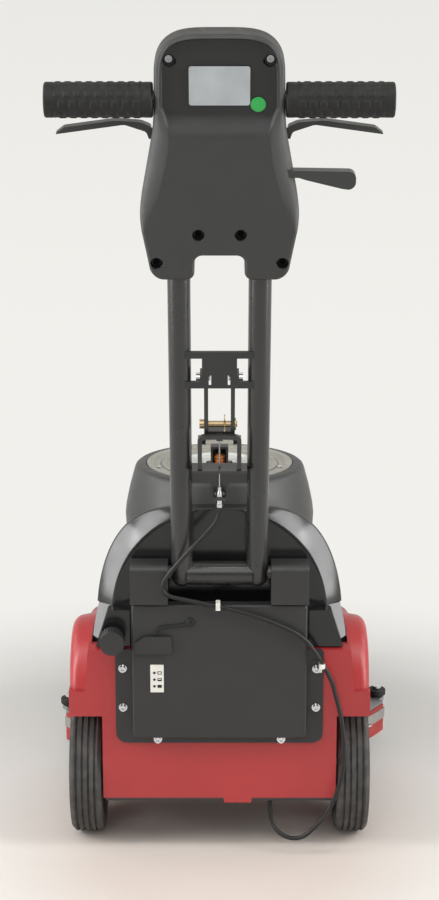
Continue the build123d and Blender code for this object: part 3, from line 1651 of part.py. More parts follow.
def squeegee_straps():
    """Steel straps that clamp the blades."""
    top = squeegee_lift + blade_height - strap_drop
    return blade_layers(strap_thickness, blade_thickness, (top - strap_height, top))


def wing_nuts():
    """Wing nuts on the rear strap."""
    start = squeegee_radius + squeegee_half_depth + blade_thickness + strap_thickness
    z = squeegee_lift + blade_height - strap_drop - strap_height / 2
    wing_x = (-nut_wing_half, nut_wing_half)
    wing_y = (-start - nut_length - nut_wing_depth, -start - nut_length + nut_wing_depth)
    wing_z = (z - nut_wing_sheet / 2, z + nut_wing_sheet / 2)
    nuts = []
    for turn in nut_turns:
        nut = rod("Y", (-start - nut_length, nut_sink - start), (0, z), nut_radius)
        nut += block(wing_x, wing_y, wing_z)
        nut = Pos(0, squeegee_centre_y, 0) * Rot(0, 0, turn) * nut
        nuts.append(swung(nut - arc_bar((start - nut_length, start), (0, 2 * z), squeegee_half_turn)))
    return nuts


def roller_span():
    """Heights of the squeegee's end rollers."""
    low = squeegee_top_z + part_gap
    return low, low + roller_thickness


def end_roller(side):
    """Wall roller on one end of the squeegee."""
    x, y = arc_place(side * roller_turn, squeegee_radius)
    roller = rod("Z", roller_span(), (x, y), roller_radius)
    roller = fillet(roller.edges(), roller_round)
    return swung(roller - rod("Z", everywhere, (x, y), roller_bolt_radius + running_gap))


def roller_bolts():
    """Bolts that carry the end rollers."""
    bolts = []
    low, high = roller_span()
    for side in sides.values():
        x, y = arc_place(side * roller_turn, squeegee_radius)
        flange = roller_bolt_radius + roller_head_flange
        seat = high + part_gap
        bolt = rod("Z", (squeegee_top_z - squeegee_skin, seat), (x, y), roller_bolt_radius)
        bolt += rod("Z", (seat, seat + roller_head_height), (x, y), flange)
        bolt += rod("Z", (squeegee_top_z, low - slide_gap), (x, y), flange)
        bolts.append(swung(bolt))
    return bolts


def make_nodes():
    """Every piece under its node name."""
    nodes = {
        "chassis_shell": chassis_shell(),
        "undertray": undertray(),
        "axle": axle(),
        "axle_caps": axle_caps(),
        "scrub_pad": scrub_pad(),
        "pad_driver": pad_driver(),
        "brush_deck": brush_deck(),
        "gear_motor": gear_motor(),
        "vacuum_motor": vacuum_motor(),
        "batteries": batteries(),
        "solution_tank": solution_tank(),
        "recovery_tank": recovery_tank(),
        "tank_lid": tank_lid(),
        "lid_pin": lid_pin(),
        "float_cage": float_cage(),
        "lid_float": lid_float(),
        "lid_screws": lid_screws(),
        "rear_cover": rear_cover(),
        "cover_screws": cover_screws(),
        "charge_socket": charge_socket(),
        "charge_flap": charge_flap(),
        "charge_indicator": charge_indicator(),
        "flow_valve": flow_valve(),
        "flow_knob": flow_knob(),
        "pivot_shaft": pivot_shaft(),
        "pivot_blocks": Compound(children=[pivot_block(side) for side in sides.values()]),
        "handle_tubes": Compound(children=[handle_tube(side) for side in sides.values()] + [pivot_tube()]),
        "grips": Compound(children=[grip(side) for side in sides.values()]),
        "handlebar": handlebar(),
        "console_rear": console_rear(),
        "console_front": console_front(),
        "console_screws": console_screws(),
        "spec_plate": spec_plate(),
        "switch_power": rocker(-1),
        "switch_vacuum": rocker(1),
        "release_lever": release_lever(),
        "brace_bracket": brace_bracket(),
        "guide_bolts": guide_bolts(),
        "link_bars": link_bars(),
        "clevis_pin": clevis_pin(),
        "lift_bail": lift_bail(),
        "inner_wire": inner_wire(),
        "cable_bracket": cable_bracket(),
        "cable_adjuster": cable_adjuster(),
        "swing_ring": swing_ring(),
        "squeegee_body": squeegee_body(),
        "squeegee_blades": squeegee_blades(),
        "squeegee_straps": squeegee_straps(),
        "squeegee_bolts": Compound(children=wing_nuts() + roller_bolts()),
    }
    for name, side in sides.items():
        nodes[f"tyre_{name}"] = tyre(side)
        nodes[f"hub_{name}"] = hub(side)
        nodes[f"drive_paddle_{name}"] = drive_paddle(side)
        nodes[f"end_roller_{name}"] = end_roller(side)
    upper = cable_stretch(upper_route)
    lower = cable_stretch(lower_route)
    nodes["cable_upper"] = upper
    nodes["cable_lower"] = lower
    nodes["cable_clips"] = Compound(children=[cable_clip() - upper - lower, cable_tie() - upper])
    return nodes


def export_nodes(nodes):
    """Write each node to its own file."""
    os.makedirs("parts", exist_ok=True)
    for name, shape in nodes.items():
        export_step(shape, f"parts/{name}.step")


all_nodes = make_nodes()
print("nodes", len(all_nodes))
export_nodes(all_nodes)
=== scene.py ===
"""Looks of a compact floor scrubber, laid out as an add-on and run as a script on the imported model."""

import json
from math import radians

import bpy
import numpy as np
from bpy.props import FloatProperty, FloatVectorProperty, IntProperty, PointerProperty
from bpy.types import Operator, Panel, PropertyGroup
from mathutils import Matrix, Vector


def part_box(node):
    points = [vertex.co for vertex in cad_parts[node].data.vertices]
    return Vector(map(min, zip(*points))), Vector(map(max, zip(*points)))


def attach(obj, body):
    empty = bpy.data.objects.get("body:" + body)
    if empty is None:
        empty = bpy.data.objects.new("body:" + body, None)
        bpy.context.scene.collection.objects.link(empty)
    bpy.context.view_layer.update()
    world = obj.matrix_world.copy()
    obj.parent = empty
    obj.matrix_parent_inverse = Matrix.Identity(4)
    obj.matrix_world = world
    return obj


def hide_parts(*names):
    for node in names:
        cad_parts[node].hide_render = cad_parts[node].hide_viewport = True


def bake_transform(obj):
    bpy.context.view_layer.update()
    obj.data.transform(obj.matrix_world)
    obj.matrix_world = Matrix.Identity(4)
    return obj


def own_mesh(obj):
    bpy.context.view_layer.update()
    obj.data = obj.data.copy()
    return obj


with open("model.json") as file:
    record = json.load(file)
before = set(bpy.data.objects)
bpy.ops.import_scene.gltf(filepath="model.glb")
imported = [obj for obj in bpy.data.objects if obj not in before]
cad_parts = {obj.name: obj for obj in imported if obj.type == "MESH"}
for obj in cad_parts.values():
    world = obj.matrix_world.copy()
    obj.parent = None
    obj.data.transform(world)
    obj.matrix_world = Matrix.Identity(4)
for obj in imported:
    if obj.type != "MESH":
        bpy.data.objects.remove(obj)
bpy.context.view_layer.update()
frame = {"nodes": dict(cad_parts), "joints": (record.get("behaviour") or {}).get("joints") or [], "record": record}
joints = {joint["name"]: joint for joint in frame["joints"]}
handle_hinge = np.array(joints["handle_tilt"]["pos_m"])
handle_up = np.array(joints["bail_slide"]["axis"])
handle_fore = np.cross(handle_up, (1.0, 0.0, 0.0))

bl_info = {
    "name": "Floor scrubber looks",
    "version": (1, 0, 0),
    "blender": (4, 5, 0),
    "location": "View3D > Sidebar > Scrubber",
    "description": "Dresses the packed floor scrubber with finishes, lift cable, grips and small fittings",
    "category": "Object",
}

# The lift cable's two stretches, as in the part's source, in metres.
UPPER_ROUTE = (
    (0.0, -0.4737, 0.5091), (0.0, -0.4695, 0.4916), (-0.020, -0.471, 0.469), (-0.037, -0.472, 0.451),
    (-0.057, -0.471, 0.428), (-0.071, -0.469, 0.410), (-0.0765, -0.468, 0.3985), (-0.074, -0.467, 0.388),
    (-0.064, -0.466, 0.3825), (-0.046, -0.4655, 0.3785), (-0.021, -0.465, 0.373), (0.016, -0.465, 0.365),
    (0.046, -0.465, 0.356), (0.072, -0.464, 0.346), (0.103, -0.463, 0.331), (0.122, -0.461, 0.314),
    (0.1365, -0.458, 0.2885),
)
LOWER_ROUTE = (
    (0.1365, -0.458, 0.2885), (0.151, -0.455, 0.263), (0.157, -0.454, 0.238), (0.164, -0.455, 0.213),
    (0.168, -0.457, 0.185), (0.170, -0.459, 0.156), (0.168, -0.459, 0.126), (0.159, -0.458, 0.093),
    (0.146, -0.456, 0.065), (0.132, -0.4535, 0.046), (0.115, -0.450, 0.028), (0.097, -0.4445, 0.024),
    (0.080, -0.437, 0.0305), (0.070, -0.426, 0.046), (0.070, -0.426, 0.075),
)
# The charge flap's strap, from the flap's top edge to its button on the rear cover.
TETHER_ROUTE = (
    (-0.085, -0.4588, 0.3262), (-0.0845, -0.4588, 0.332), (-0.077, -0.4588, 0.3375), (-0.060, -0.4588, 0.339),
    (-0.047, -0.4588, 0.3405), (-0.039, -0.4588, 0.344),
)
# The hairpin's wire, fore and up the handle: straight leg, eye and bowed leg.
HAIRPIN_ROUTE = (
    (0.0, 0.2145), (0.0, 0.2225), (0.0, 0.2295), (0.0005, 0.2345), (-0.0035, 0.2365), (-0.0065, 0.2335),
    (-0.0065, 0.2295), (-0.0045, 0.2265), (-0.0056, 0.222), (-0.0045, 0.2180), (-0.0075, 0.2140),
)
# The console's side in front view: height up the handle and half width at each corner.
CONSOLE_SIDE = ((0.426, 0.082), (0.508, 0.0975), (0.616, 0.0775), (0.726, 0.075))
# The roll of the console's edge: height up the handle, width, drop, and how flat it is, from 0 for round to 1
# for a chamfer.
CONSOLE_ROLL = (
    (0.426, 0.0045, 0.0045, 0.0), (0.488, 0.0048, 0.0045, 0.0), (0.508, 0.0115, 0.0075, 0.4),
    (0.531, 0.0195, 0.0115, 0.6), (0.577, 0.0220, 0.0145, 0.6), (0.611, 0.0200, 0.0140, 0.5),
    (0.640, 0.0070, 0.0065, 0.0), (0.690, 0.0070, 0.0065, 0.0), (0.714, 0.0045, 0.0045, 0.0),
    (0.726, 0.0040, 0.0040, 0.0),
)
# The tank in front of its bevel: share of the length, share of the width and drop of its top.
TANK_NOSE = (
    (0.0, 1.0, 0.0), (0.05, 0.99, 0.014), (0.12, 0.98, 0.032), (0.25, 0.965, 0.050), (0.50, 0.95, 0.068),
    (0.71, 0.93, 0.080), (0.83, 0.855, 0.092), (0.94, 0.70, 0.108), (1.0, 0.30, 0.126),
)
# The cone under the lid: height and radius up its side, then drop below its top and radius over its lip.
NECK_SIDE = (
    (0.365, 0.1335), (0.400, 0.1335), (0.430, 0.1335), (0.443, 0.1342), (0.456, 0.1328), (0.470, 0.1300),
    (0.485, 0.1267),
)
NECK_LIP = ((0.0075, 0.1205), (0.0035, 0.1188), (0.001, 0.1158), (0.0, 0.1120))
# Screw wells on the right half of the console: across, up the handle and radius.
CONSOLE_WELLS = ((0.0587, 0.695, 0.0070), (0.0255, 0.484, 0.0069), (0.0765, 0.448, 0.0069))
# The console's grid: runs of columns in shares of the half width, columns at the edge, and runs of rows.
CONSOLE_COLUMNS = ((0.0, 0.185, 0.03), (0.185, 0.37, 0.009), (0.37, 0.70, 0.03), (0.70, 0.972, 0.009))
CONSOLE_EDGE = (0.975, 0.98, 0.985, 0.989, 0.993, 0.996, 0.998, 1.0)
CONSOLE_ROWS = ((0.464, 0.4755, 0.003), (0.476, 0.4925, 0.0008))
# The grips: edge of a collar, distance from it over which the pads rise, and the bar's clearance in the bore.
COLLAR_EDGE = 0.0015
PAD_FADE = (0.001, 0.004)
BORE_CLEARANCE = 0.0001
# The arch over the console's head ends just short of a quarter turn.
ARCH_END = 1.56
# Finer sizes of the console: ease of its side's corners, both ends of the recess's wall from the roll's inner
# edge, width of the bead, darkness of the painted shade in the recess, and half width of a well's wall.
SIDE_EASE = 0.022
RECESS_WALL = (-0.0002, 0.0030)
BEAD_WIDTH = 0.0012
RECESS_SHADE = 0.68
WELL_WALL = 0.0004
# The tank's rounded edges: height over the face's centre of the point that its edge bends towards, how far it
# does, shares of the bevel where the face's edge ends and the outer edge starts, the bevel's least depth, and
# how far the outer edge runs on.
FACE_RISE = 0.05
FACE_SHARE = 0.03
BEVEL_START = 0.10
BEVEL_END = 0.94
BEVEL_LEAST = 0.001
BEVEL_RUN = 0.003
# In the cone: radii between which the tank's top rises from its floor, and the floor's height over the rim.
NECK_DIP = (0.104, 0.128)
FLOOR_RISE = 0.005
# The lid's hinge lugs: how far they sit behind and below the hinge, and their half height and half depth.
LUG_PLACE = (0.004, 0.005)
LUG_HALF = (0.012, 0.010)
# Turned shapes: height over their foot and share of their radius.
BUTTON_SIDE = (
    (0.0, 1.0), (0.0018, 1.0), (0.0028, 0.9), (0.0032, 0.7), (0.0030, 0.45), (0.0024, 0.3), (0.0023, 0.05),
)
STICKER_SIDE = ((0.0, 1.0), (0.0002, 1.0), (0.0003, 0.97), (0.0003, 0.05))
# The indicator's marks: half width, half height, thickness and squareness, and how much each level is lower.
DOT_MARK = (0.0018, 0.0018, 0.0002, 2.0)
SIGN_MARK = (0.0029, 0.0022, 0.0002, 8.0)
LEVEL_MARK = (0.0019, 0.0012, 0.0003, 8.0)
LEVEL_STEP = 0.0006
# The photograph's camera: place, tilt from straight down in degrees, and lens and sensor in millimetres.
CAMERA_PLACE = (0.0, -2.698, 1.123)
CAMERA_TILT = 76.4
CAMERA_LENS = 70.72
CAMERA_SENSOR = 36.0
# Lamps: place, point that they look at, width, height and power. The side lamps stand on both sides.
KEY_LAMP = ((-0.4, -3.2, 2.4), (0.0, -0.3, 0.5), 2.2, 2.2, 33.0)
TOP_LAMP = ((0.0, -1.38, 2.4), (0.0, -0.41, 0.49), 2.0, 0.22, 9.5)
SIDE_LAMPS = {
    "low": ((1.75, -0.84, 0.68), (0.0, -0.4, 0.42), 0.54, 1.36, 19.0),
    "high": ((1.62, -1.17, 1.66), (0.0, -0.4, 0.46), 0.46, 1.3, 16.0),
    "side": ((1.8, 0.10, 1.25), (0.0, -0.3, 0.6), 0.5, 0.9, 5.5),
}
RIGHT_POWER = 0.95
# The sweep: its depth behind and ahead, its half width and the radius of its bend.
SWEEP_DEPTH = (-4.0, 3.0)
SWEEP_HALF = 6.0
SWEEP_RADIUS = 2.5
# The paper: where its painted shadow and painted red bounce light lie and over what distance that fades,
# and the same for where it takes the lamps.
PAINTED_SHADOW_PAPER = ((0.0, -0.42, 0.0), 0.18, 0.40)
LIT_PAPER = ((0.0, -0.2, 0.0), 0.45, 0.95)
# Where most of a noise texture's values lie.
NOISE_SPAN = (0.3, 0.7)
# Edges that are sharper than this, in degrees, show as edges.
SHARP = 32.0


def colour(name, description, default):
    """A colour property, written as it looks on screen."""
    return FloatVectorProperty(name=name, description=description, default=default, size=3, min=0.0, max=1.0,
                               subtype="COLOR_GAMMA")


def length(name, description, default):
    """A length property in metres."""
    return FloatProperty(name=name, description=description, default=default, unit="LENGTH")


class ScrubberColours(PropertyGroup):
    """Colours of the finishes."""
    body_red: colour("Body red", "Moulded chassis shell", (0.645, 0.180, 0.188))
    tank_black: colour("Tank black", "Moulded tanks and the console's front", (0.115, 0.115, 0.115))
    neck_grey: colour("Neck grey", "Cone under the recovery tank's lid", (0.215, 0.215, 0.212))
    panel_grey: colour("Panel grey", "Rear cover, hinge blocks, undertray and knob", (0.165, 0.162, 0.162))
    console_grey: colour("Console grey", "Console's rear shell, lever and paddles", (0.19, 0.19, 0.188))
    frame_black: colour("Frame black", "Painted handle tubes, bar and brackets", (0.15, 0.148, 0.146))
    deck_black: colour("Deck black", "Brush deck, squeegee ring, motors and brace", (0.12, 0.12, 0.122))
    rubber_black: colour("Rubber black", "Grips, cable jacket, rollers and strap", (0.118, 0.116, 0.113))
    tyre_grey: colour("Tyre grey", "Solid tyres", (0.245, 0.24, 0.236))
    hub_grey: colour("Hub grey", "Wheel hubs", (0.48, 0.48, 0.47))
    lid_grey: colour("Lid grey", "Milky recovery tank lid", (0.62, 0.61, 0.57))
    blade_red: colour("Blade red", "Squeegee blades and pad", (0.62, 0.20, 0.19))
    plate_silver: colour("Plate silver", "Bare specification plate", (0.78, 0.80, 0.815))
    zinc_yellow: colour("Zinc yellow", "Clevis pin and hairpin", (0.74, 0.65, 0.50))
    off_white: colour("Off-white", "Cable clip, tie and indicator plate", (0.86, 0.85, 0.82))
    sticker_green: colour("Sticker green", "Round bare sticker", (0.18, 0.62, 0.29))
    float_copper: colour("Float copper", "Float in the lid", (0.90, 0.56, 0.28))
    backdrop: colour("Backdrop", "Floor and wall behind the scrubber", (0.922, 0.918, 0.902))


class ScrubberSizes(PropertyGroup):
    """Sizes of the pieces that are made here."""
    cable_diameter: length("Cable diameter", "Outer jacket of the lift cable", 0.006)
    cable_upper_length: length("Upper cable length", "From the adjuster to the clip", 0.3898)
    cable_lower_length: length("Lower cable length", "From the clip to the stop under the body", 0.3691)
    wire_diameter: length("Wire diameter", "Inner wire of the lift cable", 0.002)
    wire_foot: length("Wire foot", "Where the wire leaves its adjuster, up the handle", 0.1355)
    wire_top: length("Wire top", "Where the wire meets the bail's lug, up the handle", 0.2052)
    wire_inset: length("Wire inset", "How far the wire sits behind the tube line", 0.009)
    grip_height: length("Grip height", "Height of the grips up the handle", 0.645)
    grip_inner: length("Grip inner end", "From the middle plane", 0.078)
    grip_outer: length("Grip outer end", "From the middle plane", 0.205)
    grip_radius: length("Grip radius", "Radius between the raised pads", 0.0205)
    collar_radius: length("Collar radius", "Radius of the end collars", 0.0207)
    collar_width: length("Collar width", "Width of each end collar", 0.0105)
    bar_radius: length("Bar radius", "Handlebar inside the grip", 0.011)
    pad_rows: IntProperty(name="Pad rows", description="Rows of raised pads round a grip", default=10, min=4)
    pad_pitch: length("Pad pitch", "Spacing of the raised pads along a grip", 0.0124)
    pad_height: length("Pad height", "Height of the raised pads", 0.0009)
    console_top: length("Console top", "Up the handle", 0.726)
    console_bottom: length("Console bottom", "Up the handle", 0.426)
    console_notch: length("Console notch", "Top of the notch between the lobes, up the handle", 0.457)
    console_fold: length("Console fold", "Where the head's recess meets the panel, up the handle", 0.604)
    fold_ease: length("Fold ease", "Height over which the recess rises to the panel", 0.032)
    console_corner: length("Console corner", "Height of the arch over the head", 0.041)
    lobe_corner: length("Lobe corner", "Radius of the lobes' outer corners", 0.016)
    notch_half: length("Notch half width", "From the middle plane", 0.0305)
    notch_corner: length("Notch corner", "Radius of the notch's corners", 0.0095)
    dash_depth: length("Dash depth", "Depth of the console's front shell", 0.036)
    dash_round: length("Dash round", "Radius of the front shell's edge", 0.021)
    well_floor: length("Well floor", "Depth of the screw wells' floor behind the parting plane", 0.011)
    console_foot: length("Panel foot", "Where the raised panel dies out, up the handle", 0.484)
    console_depth: length("Console depth", "Rear shell's depth at its rim", 0.0197)
    panel_rise: length("Panel rise", "Height of the panel over the rim at the fold", 0.005)
    bead_height: length("Bead height", "Height of the bead round the head's recess", 0.0010)
    head_recess: length("Head recess", "Depth of the head's recess under its rim", 0.004)
    tank_half_width: length("Tank half width", "Half width of the tank's outer arch at its spring", 0.168)
    tank_spring: length("Tank spring", "Height where the outer arch starts", 0.330)
    tank_rise: length("Tank rise", "Height of the outer arch over its spring", 0.160)
    face_centre: length("Face centre", "Height of the centre of the tank's rear face", 0.346)
    face_radius: length("Face radius", "Radius of the tank's rear face", 0.1445)
    bevel_slope: FloatProperty(name="Bevel slope", description="Depth over reach of the bevel round the tank",
                               default=0.8, min=0.0)
    tank_rear: length("Tank rear", "Place of the tank's rear face", -0.415)
    tank_nose_start: length("Nose start", "Where the tank starts to fall", -0.384)
    tank_front: length("Tank front", "Place of the tank's nose", -0.030)
    neck_y: length("Neck place", "Axis of the cone under the lid", -0.255)
    neck_top: length("Neck top", "Height of the cone under the lid", 0.515)
    mouth_radius: length("Mouth radius", "Opening under the lid", 0.090)
    mouth_floor: length("Mouth floor", "Foot of the opening's wall", 0.432)
    lug_inner: length("Lug inner end", "Hinge lugs, from the middle plane", 0.0205)
    lug_outer: length("Lug outer end", "Hinge lugs, from the middle plane", 0.0320)
    hairpin_x: length("Hairpin place", "From the middle plane", 0.0065)
    hairpin_diameter: length("Hairpin diameter", "Wire of the hairpin", 0.0014)
    sticker_radius: length("Sticker radius", "Round bare sticker", 0.0088)
    sticker_x: length("Sticker place", "From the middle plane", 0.045)
    sticker_depth: length("Sticker depth", "How far the sticker sits behind the parting plane", 0.016)
    sticker_height: length("Sticker height", "Up the handle", 0.644)
    button_radius: length("Button radius", "Button that holds the charge flap's strap", 0.006)
    strap_width: length("Strap width", "Charge flap's strap", 0.004)
    strap_thickness: length("Strap thickness", "Charge flap's strap", 0.0022)


def linear(gamma_colour):
    """A screen colour as scene linear values, by the usual sRGB curve."""
    value = np.array(gamma_colour)
    return np.where(value <= 0.04045, value / 12.92, ((value + 0.055) / 1.055) ** 2.4)


def on_handle(x, y, s):
    """Points given across, fore and up the leaning handle, as arrays, in the shared frame."""
    x, y, s = np.broadcast_arrays(x, y, s)
    across = np.stack([x, np.zeros_like(x), np.zeros_like(x)], axis=-1)
    return handle_hinge + across + y[..., None] * handle_fore + s[..., None] * handle_up


def smoothstep(low, high, value):
    """0 below low, 1 above high and an S curve between."""
    share = np.clip((value - low) / (high - low), 0.0, 1.0)
    return share * share * (3 - 2 * share)


def eased(count):
    """Shares from 0 to 1 that lie closer together towards both ends."""
    return (1 - np.cos(np.linspace(0, np.pi, count))) / 2


def skin(rings):
    """Closed surface over a grid of rings: quads from ring to ring, and a fan from each end ring to its
    middle. The faces are turned over as a whole where the volume inside comes out negative."""
    count, around = rings.shape[:2]
    index = np.arange(count * around).reshape(count, around)
    beside = np.roll(index, -1, axis=1)
    quads = np.stack([index[:-1], beside[:-1], beside[1:], index[1:]], axis=-1).reshape(-1, 4)
    points = np.concatenate([rings.reshape(-1, 3), rings[:1].mean(axis=1), rings[-1:].mean(axis=1)])
    first = np.full(around, count * around)
    fans = np.concatenate([
        np.stack([beside[0], index[0], first], axis=-1),
        np.stack([index[-1], beside[-1], first + 1], axis=-1),
    ])
    triangles = np.concatenate([quads[:, [0, 1, 2]], quads[:, [0, 2, 3]], fans])
    corners = (points - points.mean(axis=0))[triangles]
    if np.einsum("ij,ij->", corners[:, 0], np.cross(corners[:, 1], corners[:, 2])) < 0:
        quads, fans = quads[:, ::-1], fans[:, ::-1]
    return points, [quads, fans]


def grid_quads(index):
    """Quads over a grid of point numbers, rows by columns."""
    return np.stack([index[:-1, :-1], index[:-1, 1:], index[1:, 1:], index[1:, :-1]], axis=-1).reshape(-1, 4)


def relief(x, y, s):
    """Closed solid between a height grid y(x, s) on the handle and the plane y = 0: the grid itself, a wall
    down from its rim, and one flat face at the back. The faces turn over for a grid in front of the plane."""
    index = np.arange(x.size).reshape(x.shape)
    rim = np.concatenate([index[0], index[1:, -1], index[-1, -2::-1], index[-2:0:-1, 0]])
    back = x.size + np.arange(len(rim))
    wall = np.stack([rim, back, np.roll(back, -1), np.roll(rim, -1)], axis=-1)
    flat = on_handle(x.ravel()[rim], np.zeros(len(rim)), s.ravel()[rim])
    points = np.concatenate([on_handle(x, y, s).reshape(-1, 3), flat])
    blocks = [grid_quads(index), wall, back[None, ::-1]]
    if y.mean() > 0:
        blocks = [block[:, ::-1] for block in blocks]
    return points, blocks


def ring_angles(around):
    """Angles of a ring's points."""
    return np.linspace(0, 2 * np.pi, around, endpoint=False)


def superellipse(around, half_width, half_height, squareness):
    """Points |w| ** n + |h| ** n = 1 round a ring, scaled to the half sizes."""
    turn = ring_angles(around)
    wide, tall = (np.sign(wave) * np.abs(wave) ** (2 / squareness) for wave in (np.cos(turn), np.sin(turn)))
    return wide * half_width, tall * half_height


def lathe(profile, centre, axis, side, around=48):
    """Rings of a turned shape: each profile pair gives a height along the axis and a radius about it."""
    profile = np.array(profile)
    axis, side = np.array(axis), np.array(side)
    turn = ring_angles(around)
    spoke = np.cos(turn)[:, None] * side + np.sin(turn)[:, None] * np.cross(axis, side)
    return np.array(centre) + profile[:, :1, None] * axis + profile[:, 1:, None] * spoke


def swept(path, half_width, half_depth, around=20, squareness=2.0, level=(0.0, 1.0, 0.0)):
    """Rings along a path: a superellipse, half_width across the path in the plane normal to level and
    half_depth along level."""
    along = np.gradient(path, axis=0)
    along /= np.linalg.norm(along, axis=1)[:, None]
    across = np.cross(along, level)
    across /= np.linalg.norm(across, axis=1)[:, None]
    upright = np.cross(across, along)
    wide, deep = superellipse(around, half_width, half_depth, squareness)
    return path[:, None] + wide[None, :, None] * across[:, None] + deep[None, :, None] * upright[:, None]


def spline_points(name, route):
    """Points of the smooth NURBS line of order 3 that has the route's points as its control points."""
    data = bpy.data.curves.new(name, "CURVE")
    data.dimensions = "3D"
    data.resolution_u = 8
    spline = data.splines.new("NURBS")
    spline.points.add(len(route) - 1)
    spline.points.foreach_set("co", np.column_stack([np.array(route), np.ones(len(route))]).ravel())
    spline.order_u = 3
    spline.use_endpoint_u = True
    line = bpy.data.objects.new(name, data)
    drawn = bpy.data.meshes.new_from_object(line)
    points = np.zeros(len(drawn.vertices) * 3)
    drawn.vertices.foreach_get("co", points)
    bpy.data.objects.remove(line)
    bpy.data.curves.remove(data)
    bpy.data.meshes.remove(drawn)
    return points.reshape(-1, 3)


def new_piece(name, shapes, finish):
    """A smooth mesh object at the origin from shapes, each its points and its blocks of faces."""
    points, faces, start = [], [], 0
    for shape_points, blocks in shapes:
        points.append(shape_points)
        for block in blocks:
            faces += (block + start).tolist()
        start += len(shape_points)
    mesh = bpy.data.meshes.new(name)
    mesh.from_pydata(np.concatenate(points).tolist(), [], faces)
    mesh.polygons.foreach_set("use_smooth", np.ones(len(mesh.polygons), bool))
    mesh.materials.append(finish)
    piece = bpy.data.objects.new(name, mesh)
    bpy.context.scene.collection.objects.link(piece)
    return piece


def crisp(piece, degrees):
    """Splits a piece's edges that are sharper than the angle, so that its soft shading stops there."""
    split = piece.modifiers.new("crisp", "EDGE_SPLIT")
    split.split_angle = radians(degrees)
    split.use_edge_sharp = False


class Nodes:
    """Builds nodes in the node tree of a material or of the world."""

    def __init__(self, owner):
        owner.use_nodes = True
        self.nodes = owner.node_tree.nodes
        self.links = owner.node_tree.links

    def node(self, kind, inputs=None, **settings):
        """Outputs of a new node. Each input, by name or number, gets a value or another node's output."""
        node = self.nodes.new("ShaderNode" + kind)
        for setting, value in settings.items():
            setattr(node, setting, value)
        for socket, value in (inputs or {}).items():
            if isinstance(value, bpy.types.NodeSocket):
                self.links.new(value, node.inputs[socket])
            else:
                node.inputs[socket].default_value = value
        return node.outputs

    def spread(self, value, low, high, start=0.0, end=1.0, **settings):
        """A value between start and end mapped to a range."""
        ends = {"From Min": start, "From Max": end, "To Min": low, "To Max": high}
        return self.node("MapRange", {"Value": value, **ends}, **settings)["Result"]

    def math(self, operation, *values):
        """The result of a math operation."""
        return self.node("Math", dict(enumerate(values)), operation=operation)["Value"]


class Finish(Nodes):
    """Builds one procedural material around a Principled shader that reads Object coordinates."""

    def __init__(self, name, **constants):
        self.material = bpy.data.materials.new(name)
        super().__init__(self.material)
        self.shader = self.nodes["Principled BSDF"]
        self.place = self.node("TexCoord")["Object"]
        for socket, value in constants.items():
            self.shader.inputs[socket.replace("_", " ")].default_value = value

    def noise(self, scale, detail=3.0, stretch=(1.0, 1.0, 1.0)):
        """A noise value at a scale per metre, drawn out along an axis where stretch is small."""
        place = self.node("Mapping", {"Vector": self.place, "Scale": stretch})["Vector"]
        return self.node("TexNoise", {"Vector": place, "Scale": scale, "Detail": detail})["Fac"]

    def mix(self, share, first, second):
        """A colour from first to second by a share. Each is a colour or another node's output. The colours
        are the Mix node's inputs 6 and 7 and its output 2."""
        tones = [tone if isinstance(tone, bpy.types.NodeSocket) else (*tone, 1.0) for tone in (first, second)]
        return self.node("Mix", {0: share, 6: tones[0], 7: tones[1]}, data_type="RGBA")[2]

    def attribute(self, name):
        """A value kept on the piece's own points."""
        return self.node("Attribute", attribute_name=name)["Fac"]

    def across(self):
        """Distance from the middle plane."""
        return self.math("ABSOLUTE", self.node("SeparateXYZ", {0: self.place})["X"])

    def height(self):
        """Height above the floor."""
        return self.node("SeparateXYZ", {0: self.place})["Z"]

    def reach(self, point):
        """Distance from a point in the shared frame."""
        return self.node("VectorMath", {0: self.place, 1: point}, operation="DISTANCE")["Value"]

    def paint(self, tone):
        """The shader's colour."""
        self.links.new(tone, self.shader.inputs["Base Color"])

    def rough(self, value):
        """The shader's roughness."""
        self.links.new(value, self.shader.inputs["Roughness"])

    def bump(self, value, depth):
        """Relief of a given depth in metres."""
        normal = self.node("Bump", {"Distance": depth, "Height": value})["Normal"]
        self.links.new(normal, self.shader.inputs["Normal"])

    def clouds(self, base, scale, detail, low, high):
        """A base colour times a share that drifts from low to high."""
        share = self.spread(self.noise(scale, detail), 0.0, 1.0, *NOISE_SPAN)
        return self.mix(share, base * low, base * high)

    def satin(self, tone, gloss, grain=None):
        """The finished material: its colour, roughness as a noise's scale and detail with its lowest and
        highest value, and grain as a noise's scale and detail with its depth."""
        self.paint(tone)
        self.rough(self.spread(self.noise(*gloss[:2]), *gloss[2:], *NOISE_SPAN))
        if grain:
            self.bump(self.noise(*grain[:2]), grain[2])
        return self.material


def moulded(name, tone, low, high, grain=900.0, depth=0.00006, drift=0.10, dust=0.0):
    """Moulded plastic: cloudy colour, fine spark-eroded grain, roughness that drifts, and dust low down."""
    finish = Finish(name)
    body = finish.clouds(linear(tone), 7.0, 5.0, 1 - drift, 1 + drift)
    if dust:
        low_down = finish.spread(finish.height(), dust, 0.0, 0.0, 0.30)
        body = finish.mix(low_down, body, linear((0.62, 0.58, 0.54)))
    return finish.satin(body, (40.0, 4.0, low, high), (grain, 2.0, depth))


def console_finish(tone):
    """Satin console plastic, with painted shade: darker in the head's recess and black in the screw wells."""
    base = linear(tone)
    finish = Finish("console_satin")
    # Painted shade: the recess and the screw wells are darkened by the value kept on the shell's points.
    body = finish.mix(finish.attribute("painted_shade"), finish.clouds(base, 7.0, 5.0, 0.94, 1.06), base * 0.12)
    return finish.satin(body, (40.0, 4.0, 0.42, 0.54), (1100.0, 2.0, 0.00008))


